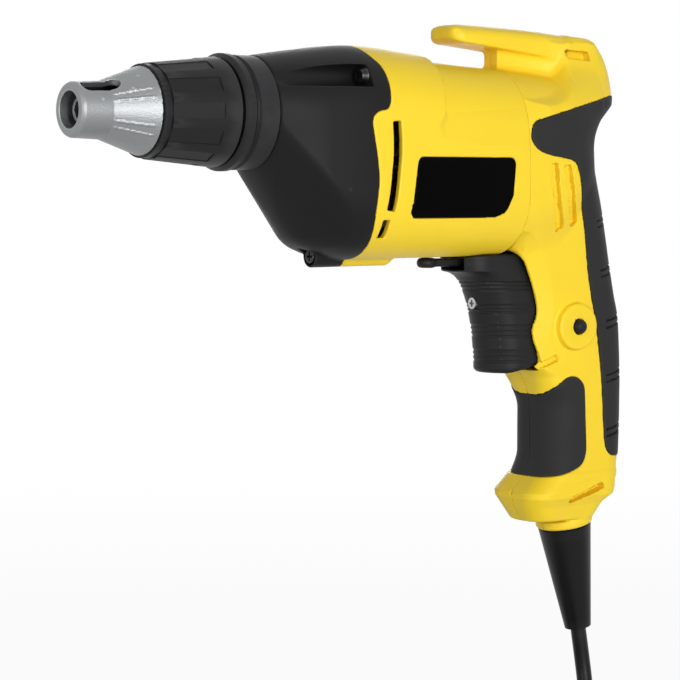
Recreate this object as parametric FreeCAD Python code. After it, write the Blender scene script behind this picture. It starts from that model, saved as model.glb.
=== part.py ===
import FreeCAD
import Part
import math
import os

# Drywall screwdriver, millimetres. Origin in the middle of the hand grip, +X to the nose, +Y to the
# tool's left, +Z up. Each piece is one function, and the sizes that can be set stand here at the top.

# Axes and fits
spindle_height = 117.5
nose_reach = 252.0
gear_module = 0.75
pinion_teeth = 8
wheel_teeth = 42
overrun = 2.0
free_gap = 0.35
run_gap = 0.05
seat_gap = 0.1
screw_gap = 0.15

# Nose cone
cone_length = 31.0
cone_front_radius = 10.0
cone_tube_length = 13.2
cone_tube_radius = 10.6
cone_base_radius = 17.1
cone_edge = 1.2
cone_wall = 2.1
nose_bore_radius = 7.0
nose_bore_length = 4.0
nose_sleeve_length = 23.0
nose_sleeve_radius = 14.2
window_length = 15.0
window_width = 7.0

# Depth collar and nose adapter
collar_length = 33.0
collar_lip_length = 3.4
collar_lip_radius = 17.9
collar_front_radius = 18.6
collar_rear_radius = 21.4
collar_nut_length = 7.0
collar_flutes = 12
flute_depth = 0.9
flute_width = 6.2
flute_length = 22.0
collar_gap = 1.4
adapter_wall = 2.0
bead_radius = 22.9
bead_length = 5.6
bead_edge = 1.6
neck_length = 10.0
neck_radius = 22.4
neck_groove = 0.7
spigot_radius = 16.9
spigot_length = 13.0
oring_wire = 1.8

# Outer casing
case_wall = 2.6
slant_length = 20.6
shoulder_half_width = 28.6
shoulder_rise = 25.2
shoulder_drop = 33.0
joint_reach = 127.0
band_reach = 86.0
seam_reach = 49.5
band_half_width = 31.0
band_rise = 24.2
joint_rise = 27.4
seam_half_width = 30.0
seam_rise = 22.3
case_drop = 39.6
case_corner = 26.5
step_depth = 1.0
stator_setback = 12.4

# Handle
handle_depth = 46.0
handle_width = 32.0
handle_wall = 2.5
handle_corner = 12.0
base_drop = 57.5
base_half_width = 18.0
base_corner = 10.0
rubber_depth = 1.5
rubber_proud = 0.5
boss_radius = 9.4
boss_proud = 2.4

# Belt hook
hook_reach = 76.0
hook_tip_round = 9.0
hook_width = 20.0
hook_height = 8.6
hook_gap = 5.6
hook_corner = 3.6
hook_sink = 2.9
tail_half_width = 14.0
tail_round = 10.0
post_width = 11.0
tail_slot_length = 16.0
tail_slot_height = 3.6
tail_slot_depth = 3.0

# Vents and label
vent_width = 3.6
tail_vent_width = 2.2
label_thickness = 0.9
label_proud = 0.2

# Screws
case_screw_radius = 2.0
case_screw_head_radius = 3.6
case_screw_head = 2.8
case_screw_length = 22.0
upper_screw_side = 22.0
upper_screw_rise = 14.6
groove_radius = 4.4
lower_screw_rise = 1.4
lower_boss_radius = 4.4
lower_boss_length = 15.6
foot_length = 25.0
shell_screw_radius = 1.5
shell_screw_head_radius = 2.8
shell_screw_head = 2.0
shell_screw_side = 9.0
shell_boss_radius = 3.6

# Motor
shaft_radius = 4.0
shaft_rear_radius = 3.5
core_radius = 14.4
core_length = 42.0
core_slots = 12
slot_width = 3.0
slot_floor_radius = 8.0
air_gap = 0.6
winding_front = 6.0
winding_rear = 7.0
winding_radius = 13.0
winding_hub_radius = 6.0
stator_length = 44.0
stator_ring = 5.2
pole_half_angle = 46.0
coil_half_angle = 62.0
coil_end = 5.0
coil_gap = 0.4
commutator_length = 12.0
commutator_radius = 10.5
commutator_bars = 24
commutator_slit = 0.5
fan_length = 11.0
fan_radius = 24.0
fan_blades = 13
fan_plate = 1.4
fan_blade = 1.3
fan_hub_radius = 7.5
fan_gap = 4.0
brush_width = 6.0
brush_height = 5.0
brush_length = 9.0
holder_wall = 1.0
holder_setback = 3.0
holder_end_gap = 1.5
brush_spring_wire = 0.5
brush_spring_turns = 5

# Bearings
front_bearing_radius = 11.0
rear_bearing_radius = 9.5
rear_bearing_width = 6.0
bearing_wall_half = 15.2
race_depth = 1.6
ball_count = 7
bearing_plate_length = 7.0

# Gears, clutch and spindle
gear_length = 8.0
gear_backlash = 0.12
pressure_angle = 20.0
gear_gap = 2.6
pinion_overlap = 1.0
gear_stub_radius = 5.6
gear_bush_wall = 1.4
pilot_radius = 4.0
dog_count = 3
dog_height = 2.2
dog_inner_radius = 7.2
dog_outer_radius = 11.0
dog_angle = 40.0
clutch_gap = 3.6
clutch_flange = 4.0
clutch_flange_radius = 12.0
clutch_spring_radius = 5.6
clutch_spring_wire = 0.9
clutch_spring_turns = 4
washer_length = 1.7
washer_radius = 11.0
spindle_radius = 6.0
spindle_front = 206.0
bush_radius = 9.2
bush_length = 21.5
holder_radius = 4.75
holder_end = 4.5
holder_gap = 0.3
hex_flats = 6.35
hex_depth = 12.0
shank_length = 15.0
magnet_length = 3.0
magnet_radius = 2.9

# Trigger, switch and controls
trigger_half_width = 13.0
trigger_top = 53.5
trigger_bottom = 9.3
trigger_front = 51.0
trigger_rear = 27.5
trigger_lean = 12.0
trigger_wall = 2.6
trigger_travel = 6.5
mouth_reach = 32.0
mouth_gap = 0.6
speed_screw_radius = 2.4
speed_screw_length = 7.0
speed_screw_height = 39.0
speed_screw_proud = 0.6
cross_slot = 0.8
cross_depth = 1.6
switch_rear = 8.0
switch_front = 18.0
switch_bottom = 21.0
switch_top = 50.0
plunger_radius = 3.0
plunger_height = 36.0
plunger_entry = 3.0
lever_pivot = 44.0
lever_reach = 81.0
lever_thickness = 3.6
lever_hub_radius = 10.0
lever_arm_width = 6.0
lever_knob_radius = 3.9
lever_knob_height = 4.2
lever_pin_radius = 3.0
lever_pin_length = 4.5
lock_reach = 13.0
lock_height = 28.5
lock_radius = 3.1
lock_proud = 2.6
lock_travel = 2.5
lock_flange = 1.4

# Cord guard and clamp
guard_top_radius = 11.6
guard_end_radius = 5.8
guard_length = 47.0
guard_drop = 2.0
rim_gap = 0.5
guard_lean = 10.4
guard_reach = 2.6
guard_neck_radius = 8.6
guard_neck_length = 6.0
guard_flange_radius = 10.4
guard_flange_length = 4.0
rim_radius = 12.4
rim_length = 4.0
clamp_rear = -8.0
clamp_front = 12.0
clamp_height = 6.0
clamp_width = 8.0
clamp_screw_radius = 1.4
clamp_screw_head_radius = 2.6

# Cord, coil, tie and plug
cord_diameter = 6.8
coil_layer_turns = 3.5
coil_mid_diameter = 80.0
coil_step = 7.5
coil_short_quarters = 1
coil_bearing = -45.0
coil_lead = 2.0
coil_tail = 30.0
tie_width = 12.0
tie_thickness = 1.0
tie_gap = 0.5
plug_length = 36.0
plug_width = 26.0
plug_nose_width = 30.0
plug_nose_length = 12.0
pin_radius = 2.0
pin_length = 19.0
pin_spacing = 18.6

V = FreeCAD.Vector
along = V(1, 0, 0)
across = V(0, 1, 0)
upward = V(0, 0, 1)

# Places that follow from the sizes
shaft_offset = gear_module * (pinion_teeth + wheel_teeth) / 2
motor_height = spindle_height - shaft_offset
cone_base = nose_reach - cone_length
collar_rear = cone_base - collar_length
bead_front = collar_rear - collar_gap
neck_front = bead_front - bead_length
case_front = neck_front - neck_length
shoulder_reach = case_front - slant_length
case_bottom = motor_height - case_drop
seam_top = spindle_height + seam_rise
cord_radius = cord_diameter / 2
beyond = 2 * nose_reach


def loop_of(points):
    return Part.makePolygon(points + points[:1])


def turned(profile, height, y=0):
    face = Part.Face(loop_of([V(x, y, height + r) for x, r in profile]))
    return face.revolve(V(0, y, height), along, 360)


def rod(x0, x1, radius, height, y=0):
    return Part.makeCylinder(radius, x1 - x0, V(x0, y, height), along)


def ring(x0, x1, outer, inner, height, y=0):
    body = rod(x0, x1, outer, height, y)
    return body.cut(rod(x0 - overrun, x1 + overrun, inner, height, y))


def block(low, high):
    size = high - low
    return Part.makeBox(size.x, size.y, size.z, low)


def cross_rod(x, z, y0, y1, radius):
    return Part.makeCylinder(radius, y1 - y0, V(x, y0, z), across)


def mirrored(shape):
    return shape.mirror(V(0, 0, 0), across)


def fused(shapes):
    whole = shapes[0].fuse(shapes[1:]) if len(shapes) > 1 else shapes[0]
    return whole.removeSplitter()


def rounded_wire(place, low, high, corner):
    (u0, v0), (u1, v1) = low, high
    bend = corner * (1 - math.sqrt(0.5))
    sides = [
        ((u1, v0 + corner), (u1, v1 - corner)),
        ((u1 - corner, v1), (u0 + corner, v1)),
        ((u0, v1 - corner), (u0, v0 + corner)),
        ((u0 + corner, v0), (u1 - corner, v0)),
    ]
    bends = [(u1 - bend, v1 - bend), (u0 + bend, v1 - bend), (u0 + bend, v0 + bend), (u1 - bend, v0 + bend)]
    edges = []
    for i, (start, end) in enumerate(sides):
        following = sides[(i + 1) % len(sides)][0]
        edges.append(Part.LineSegment(place(*start), place(*end)).toShape())
        edges.append(Part.Arc(place(*end), place(*bends[i]), place(*following)).toShape())
    return Part.Wire(edges)


def upright_section(x, half_width, top, bottom, corner):
    return rounded_wire(lambda y, z: V(x, y, z), (-half_width, bottom), (half_width, top), corner)


def level_section(z, rear, front, half_width, corner):
    return rounded_wire(lambda x, y: V(x, y, z), (rear, -half_width), (front, half_width), corner)


def lofted(wires):
    return Part.makeLoft(wires, True, True)


def rounded_outline(points, radius):
    count = len(points)
    spots = [V(x, 0, z) for x, z in points]
    bends = []
    for i, spot in enumerate(spots):
        back = (spots[i - 1] - spot).normalize()
        ahead = (spots[(i + 1) % count] - spot).normalize()
        half = back.getAngle(ahead) / 2
        middle = (back + ahead).normalize()
        reach = radius / math.tan(half)
        centre = spot + middle * (radius / math.sin(half))
        bends.append((spot + back * reach, centre - middle * radius, spot + ahead * reach))
    edges = []
    for i, (start, middle, end) in enumerate(bends):
        edges.append(Part.Arc(start, middle, end).toShape())
        edges.append(Part.LineSegment(end, bends[(i + 1) % count][0]).toShape())
    return Part.Wire(edges)


def side_plate(wire, y0, y1):
    face = Part.Face(wire)
    face.translate(V(0, y0, 0))
    return face.extrude(V(0, y1 - y0, 0))


def hex_rod(x0, x1, flats, height):
    corner = flats / math.sqrt(3)
    turns = [math.radians(60 * i) for i in range(6)]
    points = [V(x0, corner * math.cos(a), height + corner * math.sin(a)) for a in turns]
    return Part.Face(loop_of(points)).extrude(V(x1 - x0, 0, 0))


def wedge(x0, x1, inner, outer, start, end, height):
    face = Part.Face(loop_of([V(x0, 0, inner), V(x1, 0, inner), V(x1, 0, outer), V(x0, 0, outer)]))
    solid = face.revolve(V(0, 0, 0), along, end - start)
    solid.rotate(V(0, 0, 0), along, start)
    solid.translate(V(0, 0, height))
    return solid


def turned_copies(shape, count, height):
    copies = []
    for i in range(count):
        copy = shape.copy()
        copy.rotate(V(0, 0, height), along, 360 / count * i)
        copies.append(copy)
    return copies


def arc_edge(start, control, end):
    weight = (end - start).Length / ((control - start).Length + (end - control).Length)
    middle = (start + control * (2 * weight) + end) * (1 / (2 + 2 * weight))
    return Part.Arc(start, middle, end).toShape()


def biarc_edges(start, start_way, end, end_way):
    span = end - start
    both = start_way + end_way
    bend = 2 * (start_way.dot(end_way) - 1)
    slope = -2 * span.dot(both)
    reach = 2 * span.dot(span) / (-slope + math.sqrt(slope * slope - 4 * bend * span.dot(span)))
    first = start + start_way * reach
    second = end - end_way * reach
    joint = (first + second) * 0.5
    return [arc_edge(start, first, joint), arc_edge(joint, second, end)]


def tube_on(edges, radius):
    path = Part.Wire(edges)
    first = edges[0]
    start = first.valueAt(first.FirstParameter)
    way = first.tangentAt(first.FirstParameter)
    if edges[0].Vertexes[0].Point.distanceToPoint(path.OrderedVertexes[0].Point) > radius:
        start = path.OrderedVertexes[0].Point
    section = Part.Wire([Part.makeCircle(radius, start, way)])
    return path.makePipeShell([section], True, False)


def least_gap(points, wire, apart):
    closest = min(
        (points[i] - points[j]).Length
        for i in range(len(points))
        for j in range(i + apart, len(points))
    )
    return closest - wire


def helix_spring(x0, x1, radius, wire, turns, height):
    middle = V(x0, 0, height)
    length = x1 - x0 - wire
    quarters = 4 * turns
    spots = []
    ways = []
    for i in range(quarters + 1):
        angle = math.pi / 2 * i
        out = across * math.cos(angle) + upward * math.sin(angle)
        turn = upward * math.cos(angle) - across * math.sin(angle)
        spots.append(middle + along * (wire / 2 + length * i / quarters) + out * radius)
        ways.append((turn * radius + along * (length / (2 * math.pi * turns))).normalize())
    edges = []
    for i in range(quarters):
        edges += biarc_edges(spots[i], ways[i], spots[i + 1], ways[i + 1])
    return tube_on(edges, wire / 2)


# Outlines seen from the side, as shares of the handle's depth and the spindle's height
handle_section_shares = [
    (-0.323, -0.415, 0.64, 0.53, 1.0),
    (-0.221, -0.46, 0.512, 0.5, 1.1),
    (-0.068, -0.478, 0.512, 0.5, 1.1),
    (0.068, -0.468, 0.63, 0.5, 1.0),
    (0.238, -0.435, 0.76, 0.5, 1.0),
    (0.374, -0.37, 0.86, 0.53, 1.0),
    (0.511, -0.305, 0.97, 0.61, 1.1),
    (0.664, -0.233, 1.04, 0.75, 1.6),
    (0.834, -0.144, 1.07, 0.875, 2.0),
    (1.0, -0.09, 1.07, 0.9, 1.95),
]
base_section_shares = [
    (0.66, -0.415, 0.70, 0.95, 1.0),
    (0.765, -0.396, 0.76, 1.0, 1.0),
    (0.87, -0.30, 0.72, 0.97, 1.0),
    (1.0, -0.20, 0.565, 0.74, 1.0),
]
tail_section_shares = [
    (1.0, 1.0, 1.0, 1.0, 1.0),
    (0.52, 0.955, 0.975, 0.90, 0.95),
    (0.08, 0.75, 0.945, 0.18, 0.68),
    (-0.08, 0.42, 0.93, -0.14, 0.3),
]
tail_outline_shares = [
    (0.30, 1.30),
    (-0.196, 1.289),
    (-0.315, 1.174),
    (-0.38, 1.085),
    (-0.174, 1.013),
    (0, 0.94),
    (0.30, 0.94),
]
rear_grip_outline_shares = [
    (-0.65, 1.084),
    (-0.235, 1.084),
    (0.88, 0.991),
    (1.02, 0.94),
    (0.935, 0.886),
    (0.47, 0.843),
    (0.345, 0.80),
    (0.24, 0.64),
    (0.11, 0.489),
    (0.04, 0.347),
    (-0.043, 0.177),
    (-0.107, -0.051),
    (-0.13, -0.186),
    (-0.235, -0.243),
    (-0.65, -0.243),
]
front_grip_outline_shares = [
    (0.90, 0.012),
    (0.55, 0.016),
    (0.36, 0.05),
    (0.22, 0.055),
    (0.14, 0.02),
    (0.11, -0.096),
    (0.094, -0.215),
    (0.176, -0.268),
    (0.45, -0.294),
    (0.90, -0.31),
]
grip_corner_share = 0.1
mouth_outline_shares = [
    (1.28, 1.124),
    (1.10, 0.943),
    (0.99, 0.717),
    (0.97, 0.514),
    (1.03, 0.321),
    (0.93, 0.14),
    (0.60, 0.072),
]
trigger_front_shares = [(0, 0), (0.2, 0.04), (0.42, 0.14), (0.65, 0.34), (0.84, 0.64), (1, 1)]
shell_boss_shares = [
    (0.05, 1.11), (0.87, 1.125), (-0.13, 0.495), (0.37, 0.02), (-0.26, -0.155), (0.48, -0.375)
]
joint_line_shares = [
    (1.01, 1.26),
    (0.975, 1.16),
    (0.969, 1.065),
    (0.978, 1.012),
    (1.03, 1.006),
    (1.04, 0.965),
    (1.014, 0.825),
    (1.014, 0.73),
    (1.02, 0.61),
    (0.998, 0.53),
    (0.99, 0.44),
]
step_outline_shares = [(0.77, 0.935), (0.74, 1.0), (0.74, 1.075), (0.68, 1.21), (0.68, 1.4)]
label_outline_shares = [(0.858, 0.854), (0.461, 0.854), (0.474, 0.706), (0.539, 0.647), (0.896, 0.647)]
label_corner_share = 0.02
front_vent_shares = [(0.947, 0.971, 0.968, 0.672), (0.985, 0.643, 1.012, 0.585)]
tail_vent_shares = [(0.652, 0.834, 0.565, 0.596), (0.5, 0.826, 0.391, 0.613)]
round_share = 0.97
cross_share = 0.6
dedendum_share = 1.25
climb_tuck_share = 0.15
dome_share = 0.5


def scaled(shares, x_size, z_size):
    return [(x * x_size, z * z_size) for x, z in shares]


def gear_case_form(grow):
    neck = neck_radius + grow
    return lofted([
        upright_section(case_front, neck, spindle_height + neck, spindle_height - neck, neck * round_share),
        upright_section(
            shoulder_reach,
            shoulder_half_width + grow,
            spindle_height + shoulder_rise + grow,
            motor_height - shoulder_drop - grow,
            case_corner + grow,
        ),
        band_section(joint_reach, joint_rise, grow),
        band_section(band_reach, band_rise, grow),
        seam_section(seam_reach, grow),
    ])


def band_section(x, rise, grow):
    top = spindle_height + rise + grow
    return upright_section(x, band_half_width + grow, top, case_bottom - grow, case_corner + grow)


def seam_section(x, grow):
    return upright_section(x, seam_half_width + grow, seam_top + grow, case_bottom - grow, case_corner + grow)


def front_region():
    line = scaled(joint_line_shares, joint_reach, spindle_height)
    ahead = nose_reach + overrun
    loop = line + [(ahead, line[-1][1]), (ahead, line[0][1])]
    return side_plate(rounded_outline(loop, step_depth), -beyond, beyond)


def upper_screws():
    height = spindle_height + upper_screw_rise
    return [(-upper_screw_side, height), (upper_screw_side, height)]


def lower_screws():
    return [(0, case_bottom + lower_screw_rise)]


groove_end = joint_reach + case_wall + holder_wall
foot_front = joint_line_shares[-1][0] * joint_reach
boss_front = foot_front + lower_boss_length
plate_rear = joint_reach + case_wall
plate_front = plate_rear + bearing_plate_length
gear_rear = plate_front + gear_gap
gear_front = gear_rear + gear_length
dog_front = gear_front + dog_height
flange_rear = dog_front + clutch_gap + dog_height
flange_front = flange_rear + clutch_flange
washer_rear = flange_front + free_gap
bush_rear = washer_rear + washer_length + free_gap
cavity_front = bush_rear
stator_rear = seam_reach + stator_setback
stator_front = stator_rear + stator_length
stator_radius = seam_half_width - case_wall - 2 * seat_gap
core_rear = (stator_rear + stator_front - core_length) / 2
core_front = core_rear + core_length
fan_rear = stator_front + coil_end + fan_gap
commutator_front = core_rear - winding_rear - coil_end - fan_gap
commutator_rear = commutator_front - commutator_length
rear_bearing_front = commutator_rear - coil_end
rear_bearing_rear = rear_bearing_front - rear_bearing_width


def make_gear_case():
    outer = gear_case_form(0)
    screw_walls = []
    for y, z in upper_screws():
        screw_walls.append(rod(seam_reach, case_front, groove_radius + case_wall, z, y))
    inner = gear_case_form(-case_wall)
    inner = inner.common(rod(seam_reach, cavity_front, beyond, motor_height))
    shell = outer.cut(inner).fuse([wall.common(outer) for wall in screw_walls])
    for y, z in lower_screws():
        shell = shell.fuse(rod(foot_front - 2 * lower_boss_length, boss_front, lower_boss_radius, z, y))
    shell = shell.common(front_region())
    shell = shell.fuse(rod(cavity_front, case_front + spigot_length, spigot_radius, spindle_height))
    for y, z in upper_screws():
        shell = shell.cut(rod(groove_end, case_front + overrun, groove_radius, z, y))
        side = beyond if y > 0 else -beyond
        low = V(groove_end, min(y, side), z - groove_radius)
        high = V(case_front + overrun, max(y, side), z + groove_radius)
        shell = shell.cut(block(low, high))
        shell = shell.cut(rod(seam_reach, groove_end + overrun, case_screw_radius + screw_gap, z, y))
    for y, z in lower_screws():
        shell = shell.cut(rod(seam_reach, boss_front + overrun, case_screw_radius + screw_gap, z, y))
        shell = shell.cut(
            rod(boss_front - case_screw_head, boss_front + overrun, case_screw_head_radius, z, y)
        )
    bore = rod(
        cavity_front - overrun,
        case_front + spigot_length + overrun,
        bush_radius + seat_gap / 2,
        spindle_height,
    )
    groove_middle = case_front + spigot_length / 2
    groove = ring(
        groove_middle - oring_wire / 2,
        groove_middle + oring_wire / 2,
        spigot_radius + overrun,
        spigot_radius - oring_wire + run_gap,
        spindle_height,
    )
    return shell.cut([bore, groove]).removeSplitter()


def make_field_case():
    outer = gear_case_form(0)
    inner = gear_case_form(-case_wall)
    shell = outer.cut(inner)
    shell = shell.fuse([wall.common(outer) for wall in upper_screw_walls()])
    for y, z in lower_screws():
        shell = shell.fuse(rod(foot_front - foot_length, foot_front + overrun, lower_boss_radius, z, y))
    shell = shell.cut(front_region())
    shell = shell.cut(inner.cut(upper_screw_walls()))
    for y, z in upper_screws() + lower_screws():
        shell = shell.cut(rod(joint_reach - case_screw_length, nose_reach, case_screw_radius + run_gap, z, y))
    ledge = scaled(step_outline_shares, joint_reach, spindle_height)
    behind = seam_reach - overrun
    ledge = [(behind, ledge[0][1] - (ledge[1][1] - ledge[0][1]))] + ledge + [(behind, ledge[-1][1])]
    recess = side_plate(loop_of([V(x, 0, z) for x, z in ledge]), -beyond, beyond)
    recess = recess.cut(gear_case_form(-step_depth))
    shell = shell.cut(recess)
    for cut in side_slots(front_vent_shares, joint_reach, vent_width):
        shell = shell.cut(cut)
    return shell.cut(label_form(seat_gap)).removeSplitter()


def upper_screw_walls():
    walls = []
    for y, z in upper_screws():
        walls.append(rod(joint_reach - case_screw_length, joint_reach + overrun, groove_radius, z, y))
    return walls


def side_slots(shares, x_size, width):
    slots = []
    for x0, z0, x1, z1 in shares:
        start = V(x0 * x_size, 0, z0 * spindle_height)
        end = V(x1 * x_size, 0, z1 * spindle_height)
        side = (end - start).cross(across).normalize() * (width / 2)
        face = Part.Face(loop_of([start + side, end + side, end - side, start - side]))
        face.translate(V(0, handle_width / 2 - handle_wall, 0))
        slot = face.extrude(V(0, beyond, 0))
        slots += [slot, mirrored(slot)]
    return slots


def label_form(grow):
    outline = rounded_outline(
        scaled(label_outline_shares, joint_reach, spindle_height), label_corner_share * joint_reach
    )
    plate = side_plate(outline, 0, beyond)
    return plate.common(gear_case_form(label_proud + grow)).cut(gear_case_form(label_proud - label_thickness))


def make_label_plate():
    return label_form(0)


def handle_form(grow, rows):
    wires = []
    for z, rear, front, half_width, corner in rows:
        wires.append(level_section(
            z * spindle_height,
            rear * handle_depth - grow,
            front * handle_depth + grow,
            half_width * handle_width + grow,
            corner * handle_corner + grow,
        ))
    return lofted(wires)


def base_form(grow):
    wires = []
    for z, rear, front, half_width, corner in base_section_shares:
        wires.append(level_section(
            -z * base_drop,
            rear * handle_depth - grow,
            front * handle_depth + grow,
            half_width * base_half_width + grow,
            corner * base_corner + grow,
        ))
    return lofted(wires)


def barrel_tail_form(grow, ahead):
    wires = [seam_section(seam_reach + ahead, grow)] if ahead else []
    height = motor_height - case_bottom
    for x, half_width, top, bottom, corner in tail_section_shares:
        wires.append(upright_section(
            x * seam_reach,
            half_width * seam_half_width + grow,
            spindle_height + seam_rise * top + grow,
            motor_height - height * bottom - grow,
            corner * case_corner + grow,
        ))
    return lofted(wires)


def plan_form(rear, front, half_width, corner):
    return Part.Face(level_section(-beyond, rear, front, half_width, corner)).extrude(V(0, 0, 2 * beyond))


def tail_places():
    return scaled(tail_outline_shares, handle_depth, spindle_height)


def tail_form(grow):
    outline = rounded_outline(tail_places(), hook_corner)
    wire = outline.makeOffset2D(grow) if grow else outline
    half = tail_half_width + grow
    plan = plan_form(min(x for x, z in tail_places()) - grow, seam_reach, half, tail_round + grow)
    return side_plate(wire, -half, half).common(plan)


def rear_form(grow, ahead=0):
    return fused([barrel_tail_form(grow, ahead), handle_form(grow, handle_section_shares), tail_form(grow)])


def hook_form():
    under = seam_top + hook_gap
    top = under + hook_height
    back = tail_outline_shares[1][0] * handle_depth
    arm = rounded_outline(
        [
            (hook_reach, under),
            (hook_reach, top),
            (back, top - hook_sink),
            (back, under - hook_sink),
            (0, under - hook_sink),
        ],
        hook_corner,
    )
    plan = plan_form(back - hook_width, hook_reach, hook_width / 2, hook_tip_round)
    arm = side_plate(arm, -hook_width / 2, hook_width / 2).common(plan)
    post = block(
        V(back / 2, -post_width / 2, seam_top - hook_gap),
        V(seam_reach, post_width / 2, under + hook_corner),
    )
    slot_front = back + tail_slot_length + hook_corner
    slots = block(
        V(slot_front - tail_slot_length, tail_half_width - tail_slot_depth, under - tail_slot_height),
        V(slot_front, hook_width, under),
    )
    return arm.fuse(post), slots.fuse(mirrored(slots))


def guard_frame(shape):
    shape.rotate(V(0, 0, 0), across, guard_lean)
    shape.translate(V(guard_reach, 0, -base_drop - guard_drop))
    return shape


def guard_form(grow):
    neck = Part.makeCylinder(guard_neck_radius + grow, guard_neck_length + overrun, V(0, 0, -overrun))
    flange = Part.makeCylinder(
        guard_flange_radius + grow, guard_flange_length + 2 * grow, V(0, 0, guard_neck_length - grow)
    )
    return neck.fuse(flange)


def make_cord_guard():
    cone = Part.makeCone(guard_end_radius, guard_top_radius, guard_length - rim_gap, V(0, 0, -guard_length))
    whole = cone.fuse(guard_form(0))
    return guard_frame(whole.removeSplitter())


def rim_form():
    return guard_frame(Part.makeCylinder(rim_radius, rim_length))


def mouth_form():
    rise = trigger_top - trigger_bottom
    edge = [(x * mouth_reach, trigger_bottom + z * rise) for x, z in mouth_outline_shares]
    floor = trigger_bottom - mouth_gap
    loop = edge + [(edge[-1][0], floor), (nose_reach, floor), (nose_reach, edge[0][1])]
    opening = side_plate(loop_of([V(x, 0, z) for x, z in loop]), -beyond, beyond)
    half = trigger_half_width + mouth_gap
    room = block(
        V(trigger_rear - trigger_travel - mouth_gap, -half, floor),
        V(nose_reach, half, trigger_top + mouth_gap),
    )
    return opening.fuse(room)


def shell_bosses():
    return scaled(shell_boss_shares, handle_depth, spindle_height)


def grip_form(shares, grow, inset):
    outline = rounded_outline(scaled(shares, handle_depth, spindle_height), grip_corner_share * handle_corner)
    region = side_plate(outline, -beyond, beyond)
    return region.common(rear_form(grow)).cut(rear_form(-inset))


lever_low = trigger_top + mouth_gap + free_gap
lever_high = lever_low + lever_thickness


def left_space():
    return block(V(-beyond, 0, -beyond), V(beyond, beyond, beyond))


def make_handle_halves():
    outer = rear_form(0)
    cavity = rear_form(-handle_wall, overrun).cut(tail_form(overrun))
    hook, slots = hook_form()
    boss = cross_rod(lock_reach, lock_height, 0, handle_width / 2 + boss_proud, boss_radius)
    shell = outer.fuse([hook, base_form(0), rim_form(), boss])
    shell = shell.cut(cavity)
    walls = [cross_rod(x, z, -band_half_width, band_half_width, shell_boss_radius) for x, z in shell_bosses()]
    bearing_wall = block(
        V(rear_bearing_rear - run_gap, -band_half_width, motor_height - bearing_wall_half),
        V(rear_bearing_front + run_gap, band_half_width, motor_height + bearing_wall_half),
    )
    shell = shell.fuse([wall.common(outer) for wall in walls] + [bearing_wall.common(outer)])
    switch_room = block(
        V(-switch_rear - seat_gap, -switch_half_width - seat_gap, switch_bottom),
        V(mouth_reach, switch_half_width + seat_gap, switch_top),
    )
    cuts = [
        slots,
        mouth_form(),
        switch_room,
        guard_frame(guard_form(seat_gap)),
        rod(rear_bearing_rear, rear_bearing_front, rear_bearing_radius + seat_gap / 2, motor_height),
        rod(
            rear_bearing_rear - overrun,
            rear_bearing_front + overrun,
            shaft_radius + race_depth,
            motor_height,
        ),
        Part.makeCylinder(
            lever_pin_radius + run_gap,
            lever_pin_length + overrun,
            V(lever_pivot, 0, lever_high),
            upward,
        ),
        cross_rod(lock_reach, lock_height, 0, handle_width, lock_radius + free_gap),
        grip_form(rear_grip_outline_shares, overrun, rubber_depth),
        grip_form(front_grip_outline_shares, overrun, rubber_depth),
    ]
    cuts += side_slots(tail_vent_shares, handle_depth, tail_vent_width)
    for x, z in shell_bosses():
        cuts.append(cross_rod(x, z, -shell_screw_side, shell_screw_side, shell_screw_radius + run_gap))
        cuts.append(cross_rod(x, z, -beyond, -shell_screw_side, shell_screw_head_radius + screw_gap))
    cuts += clamp_cuts()
    shell = shell.cut(cuts).removeSplitter()
    return shell.common(left_space()), shell.common(mirrored(left_space()))


switch_half_width = handle_width / 2 - handle_wall - 2 * seat_gap


def make_nose_cone():
    tube_rear = nose_reach - cone_tube_length
    sleeve_rear = cone_base - nose_sleeve_length
    lip_rear = nose_reach - nose_bore_length
    sleeve_bore = nose_sleeve_radius - cone_wall
    body = turned(
        [
            (nose_reach, nose_bore_radius),
            (nose_reach, cone_front_radius - cone_edge),
            (nose_reach - cone_edge, cone_front_radius),
            (tube_rear, cone_tube_radius),
            (cone_base, cone_base_radius),
            (cone_base, nose_sleeve_radius),
            (sleeve_rear, nose_sleeve_radius),
            (sleeve_rear, sleeve_bore),
            (cone_base + cone_wall, sleeve_bore),
            (tube_rear, cone_tube_radius - cone_wall),
            (lip_rear, cone_tube_radius - cone_wall),
            (lip_rear, nose_bore_radius),
        ],
        spindle_height,
    )
    slot_front = tube_rear
    slot_rear = tube_rear - window_length
    round_radius = window_width / 2
    slot = block(
        V(slot_rear + round_radius, -round_radius, spindle_height),
        V(slot_front - round_radius, round_radius, spindle_height + 2 * cone_base_radius),
    )
    for x in (slot_rear + round_radius, slot_front - round_radius):
        slot = slot.fuse(
            Part.makeCylinder(round_radius, 2 * cone_base_radius, V(x, 0, spindle_height), upward)
        )
    return body.cut(slot).removeSplitter()


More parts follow.
